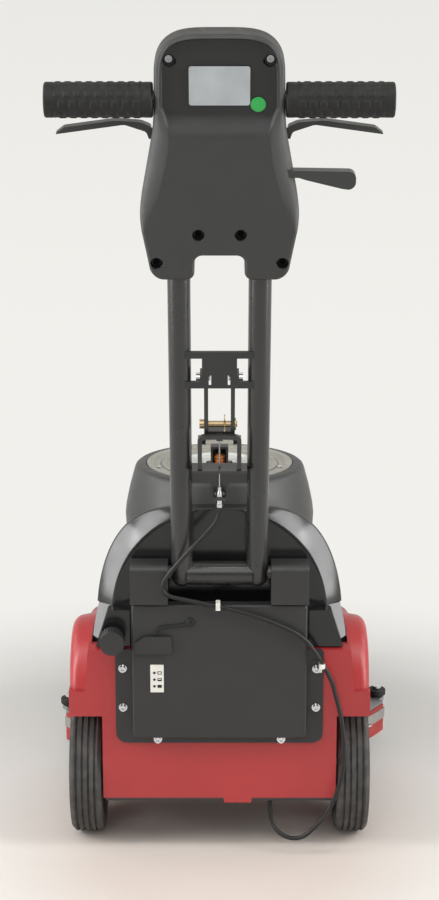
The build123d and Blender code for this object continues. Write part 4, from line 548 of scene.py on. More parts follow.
def painted(name, tone, low, high, chips=0.0):
    """Paint on metal: cloudy tone, drifting gloss and a few pale rubbed specks."""
    finish = Finish(name, Coat_Weight=0.25, Coat_Roughness=0.12)
    body = finish.clouds(linear(tone), 9.0, 2.0, 0.92, 1.08)
    if chips:
        specks = finish.spread(finish.noise(160.0, 6.0), 0.0, chips, 0.72, 0.80)
        body = finish.mix(specks, body, linear((0.5, 0.48, 0.46)))
    return finish.satin(body, (30.0, 2.0, low, high))


def metal(name, tone, low, high, stretch=(1.0, 1.0, 1.0), scale=300.0, depth=0.00003):
    """Bare or plated metal: fine lines where stretched, cloudy tone and uneven polish."""
    finish = Finish(name, Metallic=1.0)
    finish.paint(finish.clouds(linear(tone), 25.0, 4.0, 0.86, 1.06))
    lines = finish.noise(scale, 3.0, stretch)
    finish.rough(finish.spread(lines, low, high, *NOISE_SPAN))
    finish.bump(lines, depth)
    return finish.material


def screw_finish():
    """Console screws: bright crossheads in the head, and painted shade that makes the ones in the deep wells
    below near black.
    """
    finish = Finish("console_screws", Metallic=1.0)
    # Painted shade: screws lower than 0.98 m, down in the deep wells, are near black.
    upper = finish.spread(finish.height(), 0.0, 1.0, 0.98, 1.0)
    worn = finish.mix(finish.noise(300.0, 3.0), linear((0.50, 0.50, 0.51)), linear((0.72, 0.72, 0.73)))
    body = finish.mix(upper, linear((0.05, 0.05, 0.05)), worn)
    return finish.satin(body, (500.0, 2.0, 0.16, 0.30), (900.0, 2.0, 0.00002))


def rubber(name, tone, low, high, grain=350.0, depth=0.00012, dust=0.0):
    """Rubber: matt, slightly mottled, with a coarse skin and patches of dust."""
    finish = Finish(name, Specular_IOR_Level=0.35)
    body = finish.clouds(linear(tone), 18.0, 6.0, 0.82, 1.15)
    if dust:
        patchy = finish.spread(finish.noise(70.0, 6.0), 0.0, dust, 0.45, 0.75)
        body = finish.mix(patchy, body, linear((0.56, 0.53, 0.50)))
    return finish.satin(body, (90.0, 3.0, low, high), (grain, 3.0, depth))


def clip_finish(tone):
    """White clip and tie: moulded, slightly yellowed, with the clip's foot dark under its screw. The tie lies
    within 60 mm of the middle plane, and the foot ends 133 mm from it."""
    base = linear(tone)
    finish = Finish("cable_clip_white")
    body = finish.mix(finish.noise(30.0, 4.0), base * 0.92, base * 1.03)
    across = finish.across()
    foot = finish.mix(finish.spread(across, 0.0, 1.0, 0.06, 0.07), body, linear((0.16, 0.16, 0.16)))
    body = finish.mix(finish.spread(across, 0.0, 1.0, 0.1330, 0.1340), foot, body)
    return finish.satin(body, (60.0, 3.0, 0.40, 0.55), (400.0, 2.0, 0.00003))


def lid_finish(tone):
    """Milky lid: soft see-through plastic with faint clouds, a pale middle and a dark line inside its rim."""
    base = linear(tone)
    finish = Finish("milky_lid", Subsurface_Weight=0.15, Subsurface_Scale=0.004)
    body = finish.clouds(base, 14.0, 5.0, 0.92, 1.04)
    reach = finish.reach((0.0, -0.255, 0.513))
    body = finish.mix(finish.spread(reach, 0.0, 1.0, 0.057, 0.060), linear((0.84, 0.84, 0.82)), body)
    line = finish.mix(finish.spread(reach, 0.0, 1.0, 0.0815, 0.0830), body, base * 0.12)
    body = finish.mix(finish.spread(reach, 0.0, 1.0, 0.0836, 0.0846), line, body)
    return finish.satin(body, (60.0, 3.0, 0.28, 0.42), (500.0, 2.0, 0.00004))


def pad_finish(tone):
    """Non-woven pad: tangled fibre in two tones with a deep soft relief."""
    base = linear(tone)
    finish = Finish("pad_fibre", Sheen_Weight=0.3)
    tangle = finish.noise(900.0, 6.0)
    finish.paint(finish.mix(finish.spread(tangle, 0.0, 1.0, 0.35, 0.65), base * 0.55, base * 1.2))
    finish.rough(finish.spread(tangle, 0.8, 0.95))
    finish.bump(tangle, 0.0008)
    return finish.material


def make_finishes(colours):
    """Every finish, by the name of the material slot in the record where it has one."""
    return {
        "red_plastic": moulded("red_shell", colours.body_red, 0.30, 0.42, 700.0, 0.00005, 0.07, dust=0.03),
        "tank_plastic": moulded("tank_gloss", colours.tank_black, 0.13, 0.21, 200.0, 0.00001, 0.10),
        "neck_plastic": moulded("neck_satin", colours.neck_grey, 0.40, 0.52, 500.0, 0.00005, 0.08),
        "dark_plastic": moulded("panel_satin", colours.panel_grey, 0.40, 0.52, 1100.0, 0.00009, 0.07),
        "console_plastic": console_finish(colours.console_grey),
        "dash_plastic": moulded("dash_satin", colours.tank_black, 0.44, 0.56, 1100.0, 0.00008, 0.07),
        "console_screws": screw_finish(),
        "lever_plastic": moulded("lever_black", colours.console_grey, 0.30, 0.42, 900.0, 0.00006, 0.08),
        "deck_paint": painted("deck_paint", colours.deck_black, 0.38, 0.52, chips=0.25),
        "black_paint": painted("frame_paint", colours.frame_black, 0.26, 0.34),
        "motor_paint": painted("motor_paint", colours.deck_black, 0.45, 0.60),
        "steel": metal("plain_steel", (0.70, 0.69, 0.68), 0.28, 0.45),
        "bright_screws": metal("bright_plating", (0.84, 0.84, 0.85), 0.05, 0.14, scale=250.0, depth=0.00001),
        "cast_metal": metal("cast_aluminium", (0.62, 0.62, 0.62), 0.42, 0.6, depth=0.00008),
        "zinc_yellow": metal("yellow_zinc", colours.zinc_yellow, 0.25, 0.40),
        "soft_rubber": rubber("black_rubber", colours.rubber_black, 0.55, 0.72),
        "cable_jacket": rubber("cable_jacket", colours.rubber_black, 0.34, 0.48, 600.0, 0.00004),
        "tyre_rubber": rubber("tyre_rubber", colours.tyre_grey, 0.62, 0.80, dust=0.18),
        "hub_plastic": moulded("hub_grey", colours.hub_grey, 0.42, 0.55, dust=0.2),
        "lid_plastic": lid_finish(colours.lid_grey),
        "float_plastic": moulded("float_copper", colours.float_copper, 0.35, 0.5),
        "blade_rubber": rubber("blade_rubber", colours.blade_red, 0.5, 0.68, dust=0.2),
        "plate_metal": metal("bare_plate", colours.plate_silver, 0.34, 0.50, (0.04, 1, 1), 1400.0, 0.00001),
        "white_plastic": moulded("clip_white", colours.off_white, 0.40, 0.55, drift=0.04),
        "cable_clips": clip_finish(colours.off_white),
        "pad_fibre": pad_finish(colours.blade_red),
        "sticker": moulded("sticker_green", colours.sticker_green, 0.32, 0.45, drift=0.05),
    }


finishes = {}


class SCRUBBER_OT_stage(Operator):
    """Camera at the photograph's place, pale sweep under and behind the scrubber, and soft lamps."""
    bl_idname = "scrubber.stage"
    bl_label = "Stage"

    def execute(self, context):
        scene = context.scene
        scene.view_settings.view_transform = "Standard"
        lens = bpy.data.cameras.new("camera")
        lens.lens = CAMERA_LENS
        lens.sensor_width = CAMERA_SENSOR
        lens.clip_end = 60.0
        camera = bpy.data.objects.new("camera", lens)
        camera.location = CAMERA_PLACE
        camera.rotation_euler = (radians(CAMERA_TILT), 0.0, 0.0)
        scene.collection.objects.link(camera)
        scene.camera = camera
        backdrop = linear(scene.scrubber_colours.backdrop)
        self.sweep(self.paper(backdrop))
        self.lamp(context, "key", *KEY_LAMP)
        for side_name, side, share in (("left", -1.0, 1.0), ("right", 1.0, RIGHT_POWER)):
            for name, (place, target, width, height, power) in SIDE_LAMPS.items():
                place = (side * place[0], *place[1:])
                self.lamp(context, f"{side_name}_{name}", place, target, width, height, power * share)
        self.lamp(context, "top_strip", *TOP_LAMP)
        scene.world = self.studio(backdrop)
        return {"FINISHED"}

    def studio(self, tone):
        """World: pale to the camera, dim as a light, and in reflections dimmer towards the camera's side."""
        world = bpy.data.worlds.new("studio")
        tree = Nodes(world)
        ray = tree.node("LightPath")
        ahead = tree.node("SeparateXYZ", {0: tree.node("TexCoord")["Generated"]})["Y"]
        level = tree.spread(ray["Is Glossy Ray"], 0.22, tree.spread(ahead, 0.2, 1.0, -0.9, -0.3))
        background = tree.nodes["Background"]
        background.inputs["Color"].default_value = (*tone, 1.0)
        tree.links.new(tree.math("MAXIMUM", level, ray["Is Camera Ray"]), background.inputs["Strength"])
        return world

    def sweep(self, paper):
        """Floor that curves up into a wall: it is flat to 3 m ahead, and then a quarter circle."""
        rows = 30
        columns = 24
        depth = np.concatenate([np.linspace(*SWEEP_DEPTH, rows), np.full(rows, SWEEP_DEPTH[1])])
        bend = np.concatenate([np.zeros(rows), np.linspace(0.0, np.pi / 2, rows)])
        y = depth + SWEEP_RADIUS * np.sin(bend)
        z = SWEEP_RADIUS * (1 - np.cos(bend))
        x = np.linspace(-SWEEP_HALF, SWEEP_HALF, columns)
        grid = np.stack(np.broadcast_arrays(x[None, :], y[:, None], z[:, None]), axis=-1)
        quads = grid_quads(np.arange(y.size * x.size).reshape(y.size, x.size))
        new_piece("sweep", [(grid.reshape(-1, 3), [quads])], paper)

    def paper(self, base):
        """Pale paper that takes the lamps and the shadow near the scrubber, with a painted shadow and painted red
        bounce light close round it. Further off it shows its plain colour to the camera and in reflections, with
        painted light falloff: a little brighter at the floor than up the wall."""
        finish = Finish("sweep_paper", Specular_IOR_Level=0.2)
        # Painted shadow and painted red bounce light: the paper is darker and warmer close round the scrubber.
        painted_shadow = finish.mix(finish.noise(3.0, 3.0), base * (0.80, 0.72, 0.68), base * (0.84, 0.76, 0.72))
        near = finish.spread(finish.reach(PAINTED_SHADOW_PAPER[0]), 0.0, 1.0, *PAINTED_SHADOW_PAPER[1:])
        finish.paint(finish.mix(near, painted_shadow, base * 0.96))
        finish.rough(finish.spread(finish.noise(20.0), 0.55, 0.7))
        reach = finish.reach(LIT_PAPER[0])
        far = finish.spread(reach, 0.0, 1.0, *LIT_PAPER[1:], interpolation_type="SMOOTHSTEP")
        ray = finish.node("LightPath")
        seen = finish.math("MAXIMUM", ray["Is Camera Ray"], ray["Is Glossy Ray"])
        # Painted light falloff: the plain colour is a little brighter at the floor than up the wall.
        tone = finish.mix(finish.spread(finish.height(), 0.0, 1.0, 0.0, 1.6), base * 1.06, base * 0.97)
        plain = finish.node("Emission", {"Color": tone})["Emission"]
        lit = finish.shader.outputs["BSDF"]
        blend = finish.node("MixShader", {0: finish.math("MULTIPLY", far, seen), 1: lit, 2: plain})["Shader"]
        finish.links.new(blend, finish.nodes["Material Output"].inputs["Surface"])
        return finish.material

    def lamp(self, context, name, place, target, width, height, power):
        """A soft lamp, a flat rectangle that looks at a point."""
        data = bpy.data.lights.new(name, "AREA")
        data.shape = "RECTANGLE"
        data.size = width
        data.size_y = height
        data.energy = power
        lamp = bpy.data.objects.new(name, data)
        lamp.location = place
        away = np.array(place) - np.array(target)
        flat = np.hypot(away[0], away[1])
        lamp.rotation_euler = (np.arctan2(flat, away[2]), 0.0, np.arctan2(away[1], away[0]) + np.pi / 2)
        context.scene.collection.objects.link(lamp)


class SCRUBBER_OT_lift_cable(Operator):
    """Jacketed lift cable in two stretches, each a round tube along a smooth NURBS line."""
    bl_idname = "scrubber.lift_cable"
    bl_label = "Lift cable"

    def execute(self, context):
        sizes = context.scene.scrubber_sizes
        radius = sizes.cable_diameter / 2
        stretches = (
            ("lift_cable_upper", "cable_upper", UPPER_ROUTE, sizes.cable_upper_length),
            ("lift_cable_lower", "cable_lower", LOWER_ROUTE, sizes.cable_lower_length),
        )
        for name, node, route, span in stretches:
            path = spline_points(f"{name}_line", route)
            cable = new_piece(name, [skin(swept(path, radius, radius))], finishes["cable_jacket"])
            if node == "cable_upper":
                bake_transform(cable)
            else:
                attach(cable, "base")
            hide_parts(node)
        return {"FINISHED"}


class SCRUBBER_OT_inner_wire(Operator):
    """Twisted inner wire between the adjuster and the bail. Its radius
    is r (0.88 + 0.12 |cos(3 a + 900 s)|), six ridges that wind up it."""
    bl_idname = "scrubber.inner_wire"
    bl_label = "Inner wire"

    def execute(self, context):
        sizes = context.scene.scrubber_sizes
        rise = np.linspace(sizes.wire_foot, sizes.wire_top, 160)
        turn = ring_angles(24)
        strands = 0.88 + 0.12 * np.abs(np.cos(3 * turn[None, :] + rise[:, None] * 900.0))
        reach = sizes.wire_diameter / 2 * strands
        rings = on_handle(reach * np.cos(turn), -sizes.wire_inset + reach * np.sin(turn), rise[:, None])
        wire = new_piece("lift_wire", [skin(rings)], finishes["steel"])
        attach(wire, "handle")
        on_handle(0.0, -sizes.wire_inset, sizes.wire_foot)
        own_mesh(wire)
        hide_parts("inner_wire")
        return {"FINISHED"}


class SCRUBBER_OT_grips(Operator):
    """Rubber grips with end collars and rows of raised pads."""
    bl_idname = "scrubber.grips"
    bl_label = "Grips"

    def execute(self, context):
        sizes = context.scene.scrubber_sizes
        for name, side in (("grip_left", -1.0), ("grip_right", 1.0)):
            grip = new_piece(name, [skin(self.rings(sizes, side))], finishes["soft_rubber"])
            crisp(grip, 50.0)
            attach(grip, "handle")
            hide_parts("grips")
        return {"FINISHED"}

    def rings(self, sizes, side):
        """Bore, inner face, collar, sleeve, collar and end: radius by distance along the bar. The pads are
        the product of a flattened wave round the sleeve and one along it, every other row half a pitch on."""
        span = sizes.grip_outer - sizes.grip_inner
        edge = COLLAR_EDGE
        collar = sizes.collar_width
        along = np.linspace(0.0, span, 210)
        key_along = [0, edge, collar - edge, collar, span - collar, span - collar + edge, span - edge, span]
        key_radius = [sizes.collar_radius - edge, sizes.collar_radius, sizes.collar_radius, sizes.grip_radius,
                      sizes.grip_radius, sizes.collar_radius, sizes.collar_radius, sizes.collar_radius - edge]
        sleeve = np.interp(along, key_along, key_radius)
        turn = ring_angles(sizes.pad_rows * 12)
        between = smoothstep(*PAD_FADE, np.minimum(along, span - along) - collar)
        round_wave = smoothstep(0.12, 0.55, 0.5 + 0.5 * np.cos(sizes.pad_rows * turn))
        stagger = np.pi * (np.floor(sizes.pad_rows * turn / (2 * np.pi) + 0.5) % 2)
        length_wave = 0.5 + 0.5 * np.cos(2 * np.pi * along[:, None] / sizes.pad_pitch + stagger)
        pads = round_wave * smoothstep(0.10, 0.60, length_wave)
        outer = sleeve[:, None] + sizes.pad_height * between[:, None] * pads
        bore = np.full((2, len(turn)), sizes.bar_radius + BORE_CLEARANCE)
        radius = np.concatenate([bore, outer])
        reach = np.concatenate([[span - 0.004, 0.0], along])
        return on_handle((side * (sizes.grip_inner + reach))[:, None], radius * np.cos(turn),
                         sizes.grip_height + radius * np.sin(turn))


class SCRUBBER_OT_console(Operator):
    """Console's two shells: behind, a rolled rim, recessed head, flat panel with soft sides, and screw wells,
    with painted shade in the recess and the wells; in front, the plain dash."""
    bl_idname = "scrubber.console"
    bl_label = "Console shells"

    def execute(self, context):
        sizes = context.scene.scrubber_sizes
        bottom, notch, top = sizes.console_bottom, sizes.console_notch, sizes.console_top
        head = top - sizes.console_corner
        arc = np.sin(np.linspace(0.02, ARCH_END, 60))
        side = np.concatenate([bottom + (head - bottom) * eased(120), top - sizes.console_corner * (1 - arc)])
        inner = notch + (bottom - notch) * eased(120)[::3]
        edge = np.concatenate([
            [(0.0, notch)],
            np.column_stack([self.notch_half(sizes, inner), inner]),
            np.column_stack([self.half(sizes, side), side]),
            [(0.0, top)],
        ])
        grids = [self.body_grid(sizes), *self.lobe_grids(sizes)]
        rear, front, painted_shade = [], [], []
        for x, s in grids:
            inset = self.inset(x, s, edge)
            y, tone = self.face(sizes, x, s, inset)
            rear.append(relief(x, y, s))
            # Painted shade kept on each point of the face; the wall and the back get none.
            painted_shade += [tone.ravel(), np.zeros(len(rear[-1][0]) - tone.size)]
            front.append(relief(x, self.dash(sizes, inset), s))
        shell = new_piece("console_rear_shell", rear, finishes["console_plastic"])
        tones = shell.data.attributes.new("painted_shade", "FLOAT", "POINT")
        tones.data.foreach_set("value", np.concatenate(painted_shade))
        dash = new_piece("console_front_shell", front, finishes["dash_plastic"])
        for piece, node in ((shell, "console_rear"), (dash, "console_front")):
            crisp(piece, SHARP)
            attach(piece, "handle")
            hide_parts(node)
        return {"FINISHED"}

    def half(self, sizes, s):
        """Half width by height: straight runs between the side's corners, each eased by a running mean, less
        a round corner at each lobe, and closed over the head by an arch w (1 - q ** 2) ** 0.25."""
        corners = np.array(CONSOLE_SIDE)
        ease = np.linspace(-SIDE_EASE, SIDE_EASE, 15)
        half = np.interp(s[..., None] + ease, corners[:, 0], corners[:, 1]).mean(axis=-1)
        half = half - self.corner(sizes.console_bottom - s, sizes.lobe_corner)
        arch = np.clip(1 - (sizes.console_top - s) / sizes.console_corner, 0.0, 1.0)
        return half * (1 - arch * arch) ** 0.25

    def notch_half(self, sizes, s):
        """Half width of the notch between the lobes: rounded in at its top and out at its foot."""
        return sizes.notch_half - self.corner(s - sizes.console_notch, sizes.notch_corner) + self.corner(
            sizes.console_bottom - s, sizes.notch_corner)

    def corner(self, past, radius):
        """How far a round corner draws an edge in, by the signed distance past the corner's tip."""
        into = np.clip(past + radius, 0.0, radius)
        return radius - np.sqrt(radius * radius - into * into)

    def body_grid(self, sizes):
        """Grid over the shell above its notch, finer round the wells and the rolled edges."""
        across = np.concatenate([*(np.arange(*run) for run in CONSOLE_COLUMNS), CONSOLE_EDGE])
        across = np.concatenate([-across[:0:-1], across])
        head = sizes.console_top - sizes.console_corner
        s = np.concatenate([
            np.linspace(sizes.console_notch, 0.462, 9), *(np.arange(*run) for run in CONSOLE_ROWS),
            np.arange(0.495, head - 0.001, 0.003),
            head + sizes.console_corner * np.sin(np.linspace(0, ARCH_END, 80)),
        ])[:, None]
        return across * self.half(sizes, s), np.broadcast_to(s, (s.size, across.size))

    def lobe_grids(self, sizes):
        """Grids over the right and left lobes, from the notch to the outer side."""
        ease = eased(56)
        s = (sizes.console_bottom + (sizes.console_notch - sizes.console_bottom) * ease)[:, None]
        inner = self.notch_half(sizes, s)
        x = inner + (self.half(sizes, s) - inner) * ease
        s = np.broadcast_to(s, x.shape)
        return (x, s), (-x[:, ::-1], s)

    def inset(self, x, s, edge):
        """Distance of points from the outline, the smallest over its straight runs."""
        start, run = edge[:-1], np.diff(edge, axis=0)
        from_x = np.abs(x)[..., None] - start[:, 0]
        from_s = s[..., None] - start[:, 1]
        share = np.clip((from_x * run[:, 0] + from_s * run[:, 1]) / (run * run).sum(axis=1), 0.0, 1.0)
        return np.hypot(from_x - share * run[:, 0], from_s - share * run[:, 1]).min(axis=-1)

    def dash(self, sizes, inset):
        """Depth of the front shell: flat, with a quarter-round edge."""
        over = np.clip(1 - inset / sizes.dash_round, 0.0, 1.0)
        return sizes.dash_depth - sizes.dash_round * (1 - np.sqrt(1 - over * over))

    def face(self, sizes, x, s, inset):
        """Height of the face and its painted shade: the panel's plane falls into the head's recess at the fold,
        a bead stands round the recess, the edge rolls over by CONSOLE_ROLL, and the wells are round dips.
        The recess is darkened and the wells are blackened as painted shade."""
        width, drop, flat = (np.interp(s, *np.array(CONSOLE_ROLL)[:, [0, column]].T) for column in (1, 2, 3))
        over = np.clip(1 - inset / width, 0.0, 1.0)
        roll = drop * (flat * over + (1 - flat) * (1 - np.sqrt(1 - over * over)))
        head = smoothstep(sizes.console_fold, sizes.console_fold + sizes.fold_ease, s)
        rise = np.interp(s, [sizes.console_foot, sizes.console_fold], [0.0, sizes.panel_rise])
        recess = head * smoothstep(width + RECESS_WALL[0], width + RECESS_WALL[1], inset)
        plane = sizes.console_depth + rise * (1 - head) - sizes.head_recess * recess
        bead = head * sizes.bead_height * np.exp(-((inset - width) / BEAD_WIDTH) ** 2)
        y = roll - plane + head * sizes.bead_height - bead
        # Painted shade in the head's recess.
        tone = RECESS_SHADE * recess
        for well_x, well_s, radius in CONSOLE_WELLS:
            reach = np.hypot(np.abs(x) - well_x, s - well_s)
            inside = 1 - smoothstep(radius - WELL_WALL, radius + WELL_WALL, reach)
            y = y + inside * (-sizes.well_floor - y)
            # Painted shade: the wells are painted black.
            tone = np.maximum(tone, inside)
        return y, tone


class SCRUBBER_OT_tank(Operator):
    """Recovery tank: arched body with a wide bevel round its face, cone under the lid, and hinge lugs."""
    bl_idname = "scrubber.tank"
    bl_label = "Recovery tank"

    def execute(self, context):
        sizes = context.scene.scrubber_sizes
        low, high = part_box("tank_lid")
        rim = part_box("solution_tank")[1].z
        gap = 0.0005
        edge = 0.001
        taper = 0.004
        seat = low.z
        radius = (high.x - low.x) / 2 + gap
        top = sizes.neck_top
        profile = [
            *NECK_SIDE, *((top - drop, reach) for drop, reach in NECK_LIP), (top, radius + edge),
            (top - edge, radius), (seat, radius), (seat, sizes.mouth_radius),
            (sizes.mouth_floor, sizes.mouth_radius - taper),
        ]
        neck = lathe(profile, (0.0, sizes.neck_y, 0.0), (0, 0, 1), (1, 0, 0), 160)
        shapes = [skin(self.body(sizes, rim))]
        lug_y, lug_z = np.array(joints["lid_open"]["pos_m"])[1:] - LUG_PLACE
        for side in (-1.0, 1.0):
            across = side * np.linspace(sizes.lug_inner, sizes.lug_outer, 4)
            path = np.column_stack([across, np.full(4, lug_y), np.full(4, lug_z)])
            shapes.append(skin(swept(path, *LUG_HALF, around=32, squareness=3.0)))
        pieces = (("tank_body", shapes, "tank_plastic"), ("tank_neck", [skin(neck)], "neck_plastic"))
        for name, group, finish in pieces:
            piece = new_piece(name, group, finishes[finish])
            crisp(piece, SHARP)
            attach(piece, "base")
            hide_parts("recovery_tank")
        return {"FINISHED"}

    def body(self, sizes, rim):
        """Rings from the face to the nose. The outer arch, x = w cos(a) ** 0.5, z = spring + rise sin(a), and
        the face, a circle, are joined by a bevel whose edges are quadratic Bezier curves. Towards the nose
        the arch narrows and falls by TANK_NOSE. Inside the cone the top dips to the tank's floor."""
        spring, rise = sizes.tank_spring, sizes.tank_rise
        first = np.arcsin((rim - spring) / rise)
        turn = np.linspace(first, np.pi - first, 141)
        wide = np.sign(np.cos(turn)) * np.sqrt(np.abs(np.cos(turn)))
        outer = np.stack([sizes.tank_half_width * wide, spring + rise * np.sin(turn)], axis=-1)
        aim = np.arctan2(outer[:, 1] - sizes.face_centre, outer[:, 0])
        spoke = sizes.face_radius * np.stack([np.cos(aim), np.sin(aim)], axis=-1)
        inner = (0.0, sizes.face_centre) + spoke
        middle = np.array((0.0, sizes.face_centre + FACE_RISE))
        bevel = outer - inner
        rear = sizes.tank_rear
        depth = sizes.bevel_slope * np.linalg.norm(bevel, axis=1) + BEVEL_LEAST
        share = np.linspace(0.0, 1.0, 7)[:, None]
        inside = inner + FACE_SHARE * (middle - inner)
        near = self.bend(share[..., None], inside, inner, inner + BEVEL_START * bevel)
        near_y = self.bend(share, rear, rear, rear + BEVEL_START * depth)
        far = self.bend(share[..., None], inner + BEVEL_END * bevel, outer, outer)
        far_y = self.bend(share, rear + BEVEL_END * depth, rear + depth, rear + depth + BEVEL_RUN)
        table = np.array(TANK_NOSE)
        along = np.linspace(0.0, 1.0, 70)
        ease = along[:, None] + np.linspace(-0.03, 0.03, 9)
        narrow = np.interp(ease, table[:, 0], table[:, 1]).mean(axis=1)[:, None]
        drop = np.interp(ease, table[:, 0], table[:, 2]).mean(axis=1)[:, None]
        fall = (rise - drop) / rise
        nose = np.stack([narrow * outer[:, 0], spring + fall * (outer[:, 1] - spring)], axis=-1)
        start, end = sizes.tank_nose_start, sizes.tank_front
        nose_y = np.broadcast_to((start + along * (end - start))[:, None], nose.shape[:2])
        arch = np.concatenate([near, far, nose])
        y = np.concatenate([near_y, far_y, nose_y])
        x, z = arch[..., 0], np.maximum(arch[..., 1], rim)
        reach = np.hypot(x, y - sizes.neck_y)
        floor = rim + FLOOR_RISE
        z = np.minimum(z, floor + np.maximum(z - floor, 0.0) * smoothstep(*NECK_DIP, reach))
        foot = np.linspace(x[:, -1], x[:, 0], 24, axis=1)[:, 1:-1]
        x = np.concatenate([x, foot], axis=1)
        y = np.concatenate([y, np.repeat(y[:, :1], foot.shape[1], axis=1)], axis=1)
        z = np.concatenate([z, np.full(foot.shape, rim)], axis=1)
        return np.stack([x, y, z], axis=-1)

    def bend(self, share, start, corner, end):
        """Quadratic Bezier curve."""
        return (1 - share) ** 2 * start + 2 * share * (1 - share) * corner + share ** 2 * end


class SCRUBBER_OT_charge_strap(Operator):
    """Moulded strap that keeps the charge flap, and the button that holds it on the cover."""
    bl_idname = "scrubber.charge_strap"
    bl_label = "Charge flap strap"

    def execute(self, context):
        sizes = context.scene.scrubber_sizes
        path = spline_points("strap_line", TETHER_ROUTE)
        strap = swept(path, sizes.strap_width / 2, sizes.strap_thickness / 2, squareness=3.0)
        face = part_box("rear_cover")[0].y
        profile = [(height, sizes.button_radius * share) for height, share in BUTTON_SIDE]
        button = lathe(profile, (TETHER_ROUTE[-1][0], face, TETHER_ROUTE[-1][2]), (0, -1, 0), (1, 0, 0))
        piece = new_piece("charge_strap", [skin(strap), skin(button)], finishes["soft_rubber"])
        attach(piece, "base")
        return {"FINISHED"}


class SCRUBBER_OT_marks(Operator):
    """Bare round sticker on the console, and plain dots and battery signs on the charge indicator."""
    bl_idname = "scrubber.marks"
    bl_label = "Sticker and indicator marks"

    def execute(self, context):
        sizes = context.scene.scrubber_sizes
        profile = [(height, sizes.sticker_radius * share) for height, share in STICKER_SIDE]
        centre = on_handle(sizes.sticker_x, -sizes.sticker_depth, sizes.sticker_height)
        sticker = lathe(profile, centre, -handle_fore, (1, 0, 0), 64)
        piece = new_piece("round_sticker", [skin(sticker)], finishes["sticker"])
        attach(piece, "handle")
        low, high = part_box("charge_indicator")
        levels = low.z + (high.z - low.z) * np.array((0.71, 0.465, 0.22))
        dot, sign = low.x + (high.x - low.x) * np.array((0.30, 0.69))
        dark, pale = [], []
        for place, level in enumerate(levels):
            dark.append(self.tile((dot, low.y, level), *DOT_MARK))
            dark.append(self.tile((sign, low.y, level), *SIGN_MARK))
            if place < 2:
                lower = LEVEL_STEP * place
                half_width, half_height, *rest = LEVEL_MARK
                pale.append(self.tile((sign, low.y, level + lower), half_width, half_height - lower, *rest))
        pieces = (("indicator_marks", dark, "soft_rubber"), ("indicator_levels", pale, "white_plastic"))
        for name, tiles, finish in pieces:
            piece = new_piece(name, tiles, finishes[finish])
            crisp(piece, 40.0)
            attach(piece, "base")
        return {"FINISHED"}

    def tile(self, centre, half_width, half_height, thickness, squareness):
        """Thin raised tile on the rear cover: rings of a superellipse, shrunk a little at its face."""
        wide, tall = superellipse(40, half_width, half_height, squareness)
        out = np.array((0.0, 0.8, 1.0))[:, None] * thickness
        shrink = np.array((1.0, 1.0, 0.94))[:, None]
        return skin(np.stack(np.broadcast_arrays(
            centre[0] + shrink * wide, centre[1] - out, centre[2] + shrink * tall), axis=-1))


class SCRUBBER_OT_hairpin(Operator):
    """Hairpin through the clevis pin: a straight leg, a round eye and a leg that bows round the pin."""
    bl_idname = "scrubber.hairpin"
    bl_label = "Hairpin"

    def execute(self, context):
        sizes = context.scene.scrubber_sizes
        radius = sizes.hairpin_diameter / 2
        y, s = np.array(HAIRPIN_ROUTE).T
        path = spline_points("hairpin_line", on_handle(sizes.hairpin_x, y, s))
        wire = swept(path, radius, radius, 12, level=(1.0, 0.0, 0.0))
        piece = new_piece("hairpin", [skin(wire)], finishes["zinc_yellow"])
        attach(piece, "handle")
        return {"FINISHED"}


# Solids whose finish isn't the one of their material slot in the record.
OTHER_FINISHES = {
    "flow_valve": "dark_plastic", "charge_flap": "dark_plastic", "swing_ring": "deck_paint",
    "brace_bracket": "motor_paint", "handlebar": "black_paint", "pivot_shaft": "black_paint",
    "release_lever": "lever_plastic", "drive_paddle_left": "lever_plastic",
    "drive_paddle_right": "lever_plastic", "console_screws": "console_screws", "cable_clips": "cable_clips",
}


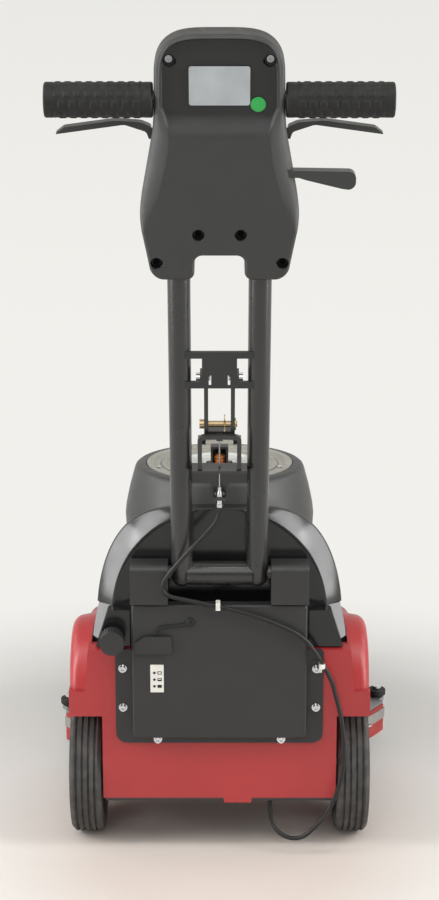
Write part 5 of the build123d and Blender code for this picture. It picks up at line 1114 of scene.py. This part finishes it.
class SCRUBBER_OT_solids(Operator):
    """Finishes and soft shading of the carried-over solids."""
    bl_idname = "scrubber.solids"
    bl_label = "Solids' finishes"

    def execute(self, context):
        slots = {part["node"]: part["material_slot"] for part in frame["record"]["subparts"]}
        for name, node in frame["nodes"].items():
            if node.hide_render:
                continue
            node.data.materials.clear()
            node.data.materials.append(finishes[OTHER_FINISHES.get(name, slots[name])])
            node.data.polygons.foreach_set("use_smooth", np.ones(len(node.data.polygons), bool))
            weld = node.modifiers.new("join", "WELD")
            weld.merge_threshold = 0.00001
            crisp(node, SHARP)
        return {"FINISHED"}


class SCRUBBER_PT_panel(Panel):
    """Lists the steps in the sidebar."""
    bl_idname = "SCRUBBER_PT_panel"
    bl_label = "Floor scrubber"
    bl_space_type = "VIEW_3D"
    bl_region_type = "UI"
    bl_category = "Scrubber"

    def draw(self, context):
        for step in STEPS:
            self.layout.operator(step.bl_idname)


STEPS = (
    SCRUBBER_OT_stage,
    SCRUBBER_OT_lift_cable,
    SCRUBBER_OT_inner_wire,
    SCRUBBER_OT_grips,
    SCRUBBER_OT_console,
    SCRUBBER_OT_tank,
    SCRUBBER_OT_charge_strap,
    SCRUBBER_OT_marks,
    SCRUBBER_OT_hairpin,
    SCRUBBER_OT_solids,
)
CLASSES = (ScrubberColours, ScrubberSizes, *STEPS, SCRUBBER_PT_panel)


def register():
    for each in CLASSES:
        bpy.utils.register_class(each)
    bpy.types.Scene.scrubber_colours = PointerProperty(type=ScrubberColours)
    bpy.types.Scene.scrubber_sizes = PointerProperty(type=ScrubberSizes)


def unregister():
    del bpy.types.Scene.scrubber_sizes
    del bpy.types.Scene.scrubber_colours
    for each in reversed(CLASSES):
        bpy.utils.unregister_class(each)


def main():
    register()
    finishes.update(make_finishes(bpy.context.scene.scrubber_colours))
    bpy.ops.scrubber.stage()
    bpy.ops.scrubber.lift_cable()
    bpy.ops.scrubber.inner_wire()
    bpy.ops.scrubber.grips()
    bpy.ops.scrubber.console()
    bpy.ops.scrubber.tank()
    bpy.ops.scrubber.charge_strap()
    bpy.ops.scrubber.marks()
    bpy.ops.scrubber.hairpin()
    bpy.ops.scrubber.solids()


if __name__ == "__main__":
    main()
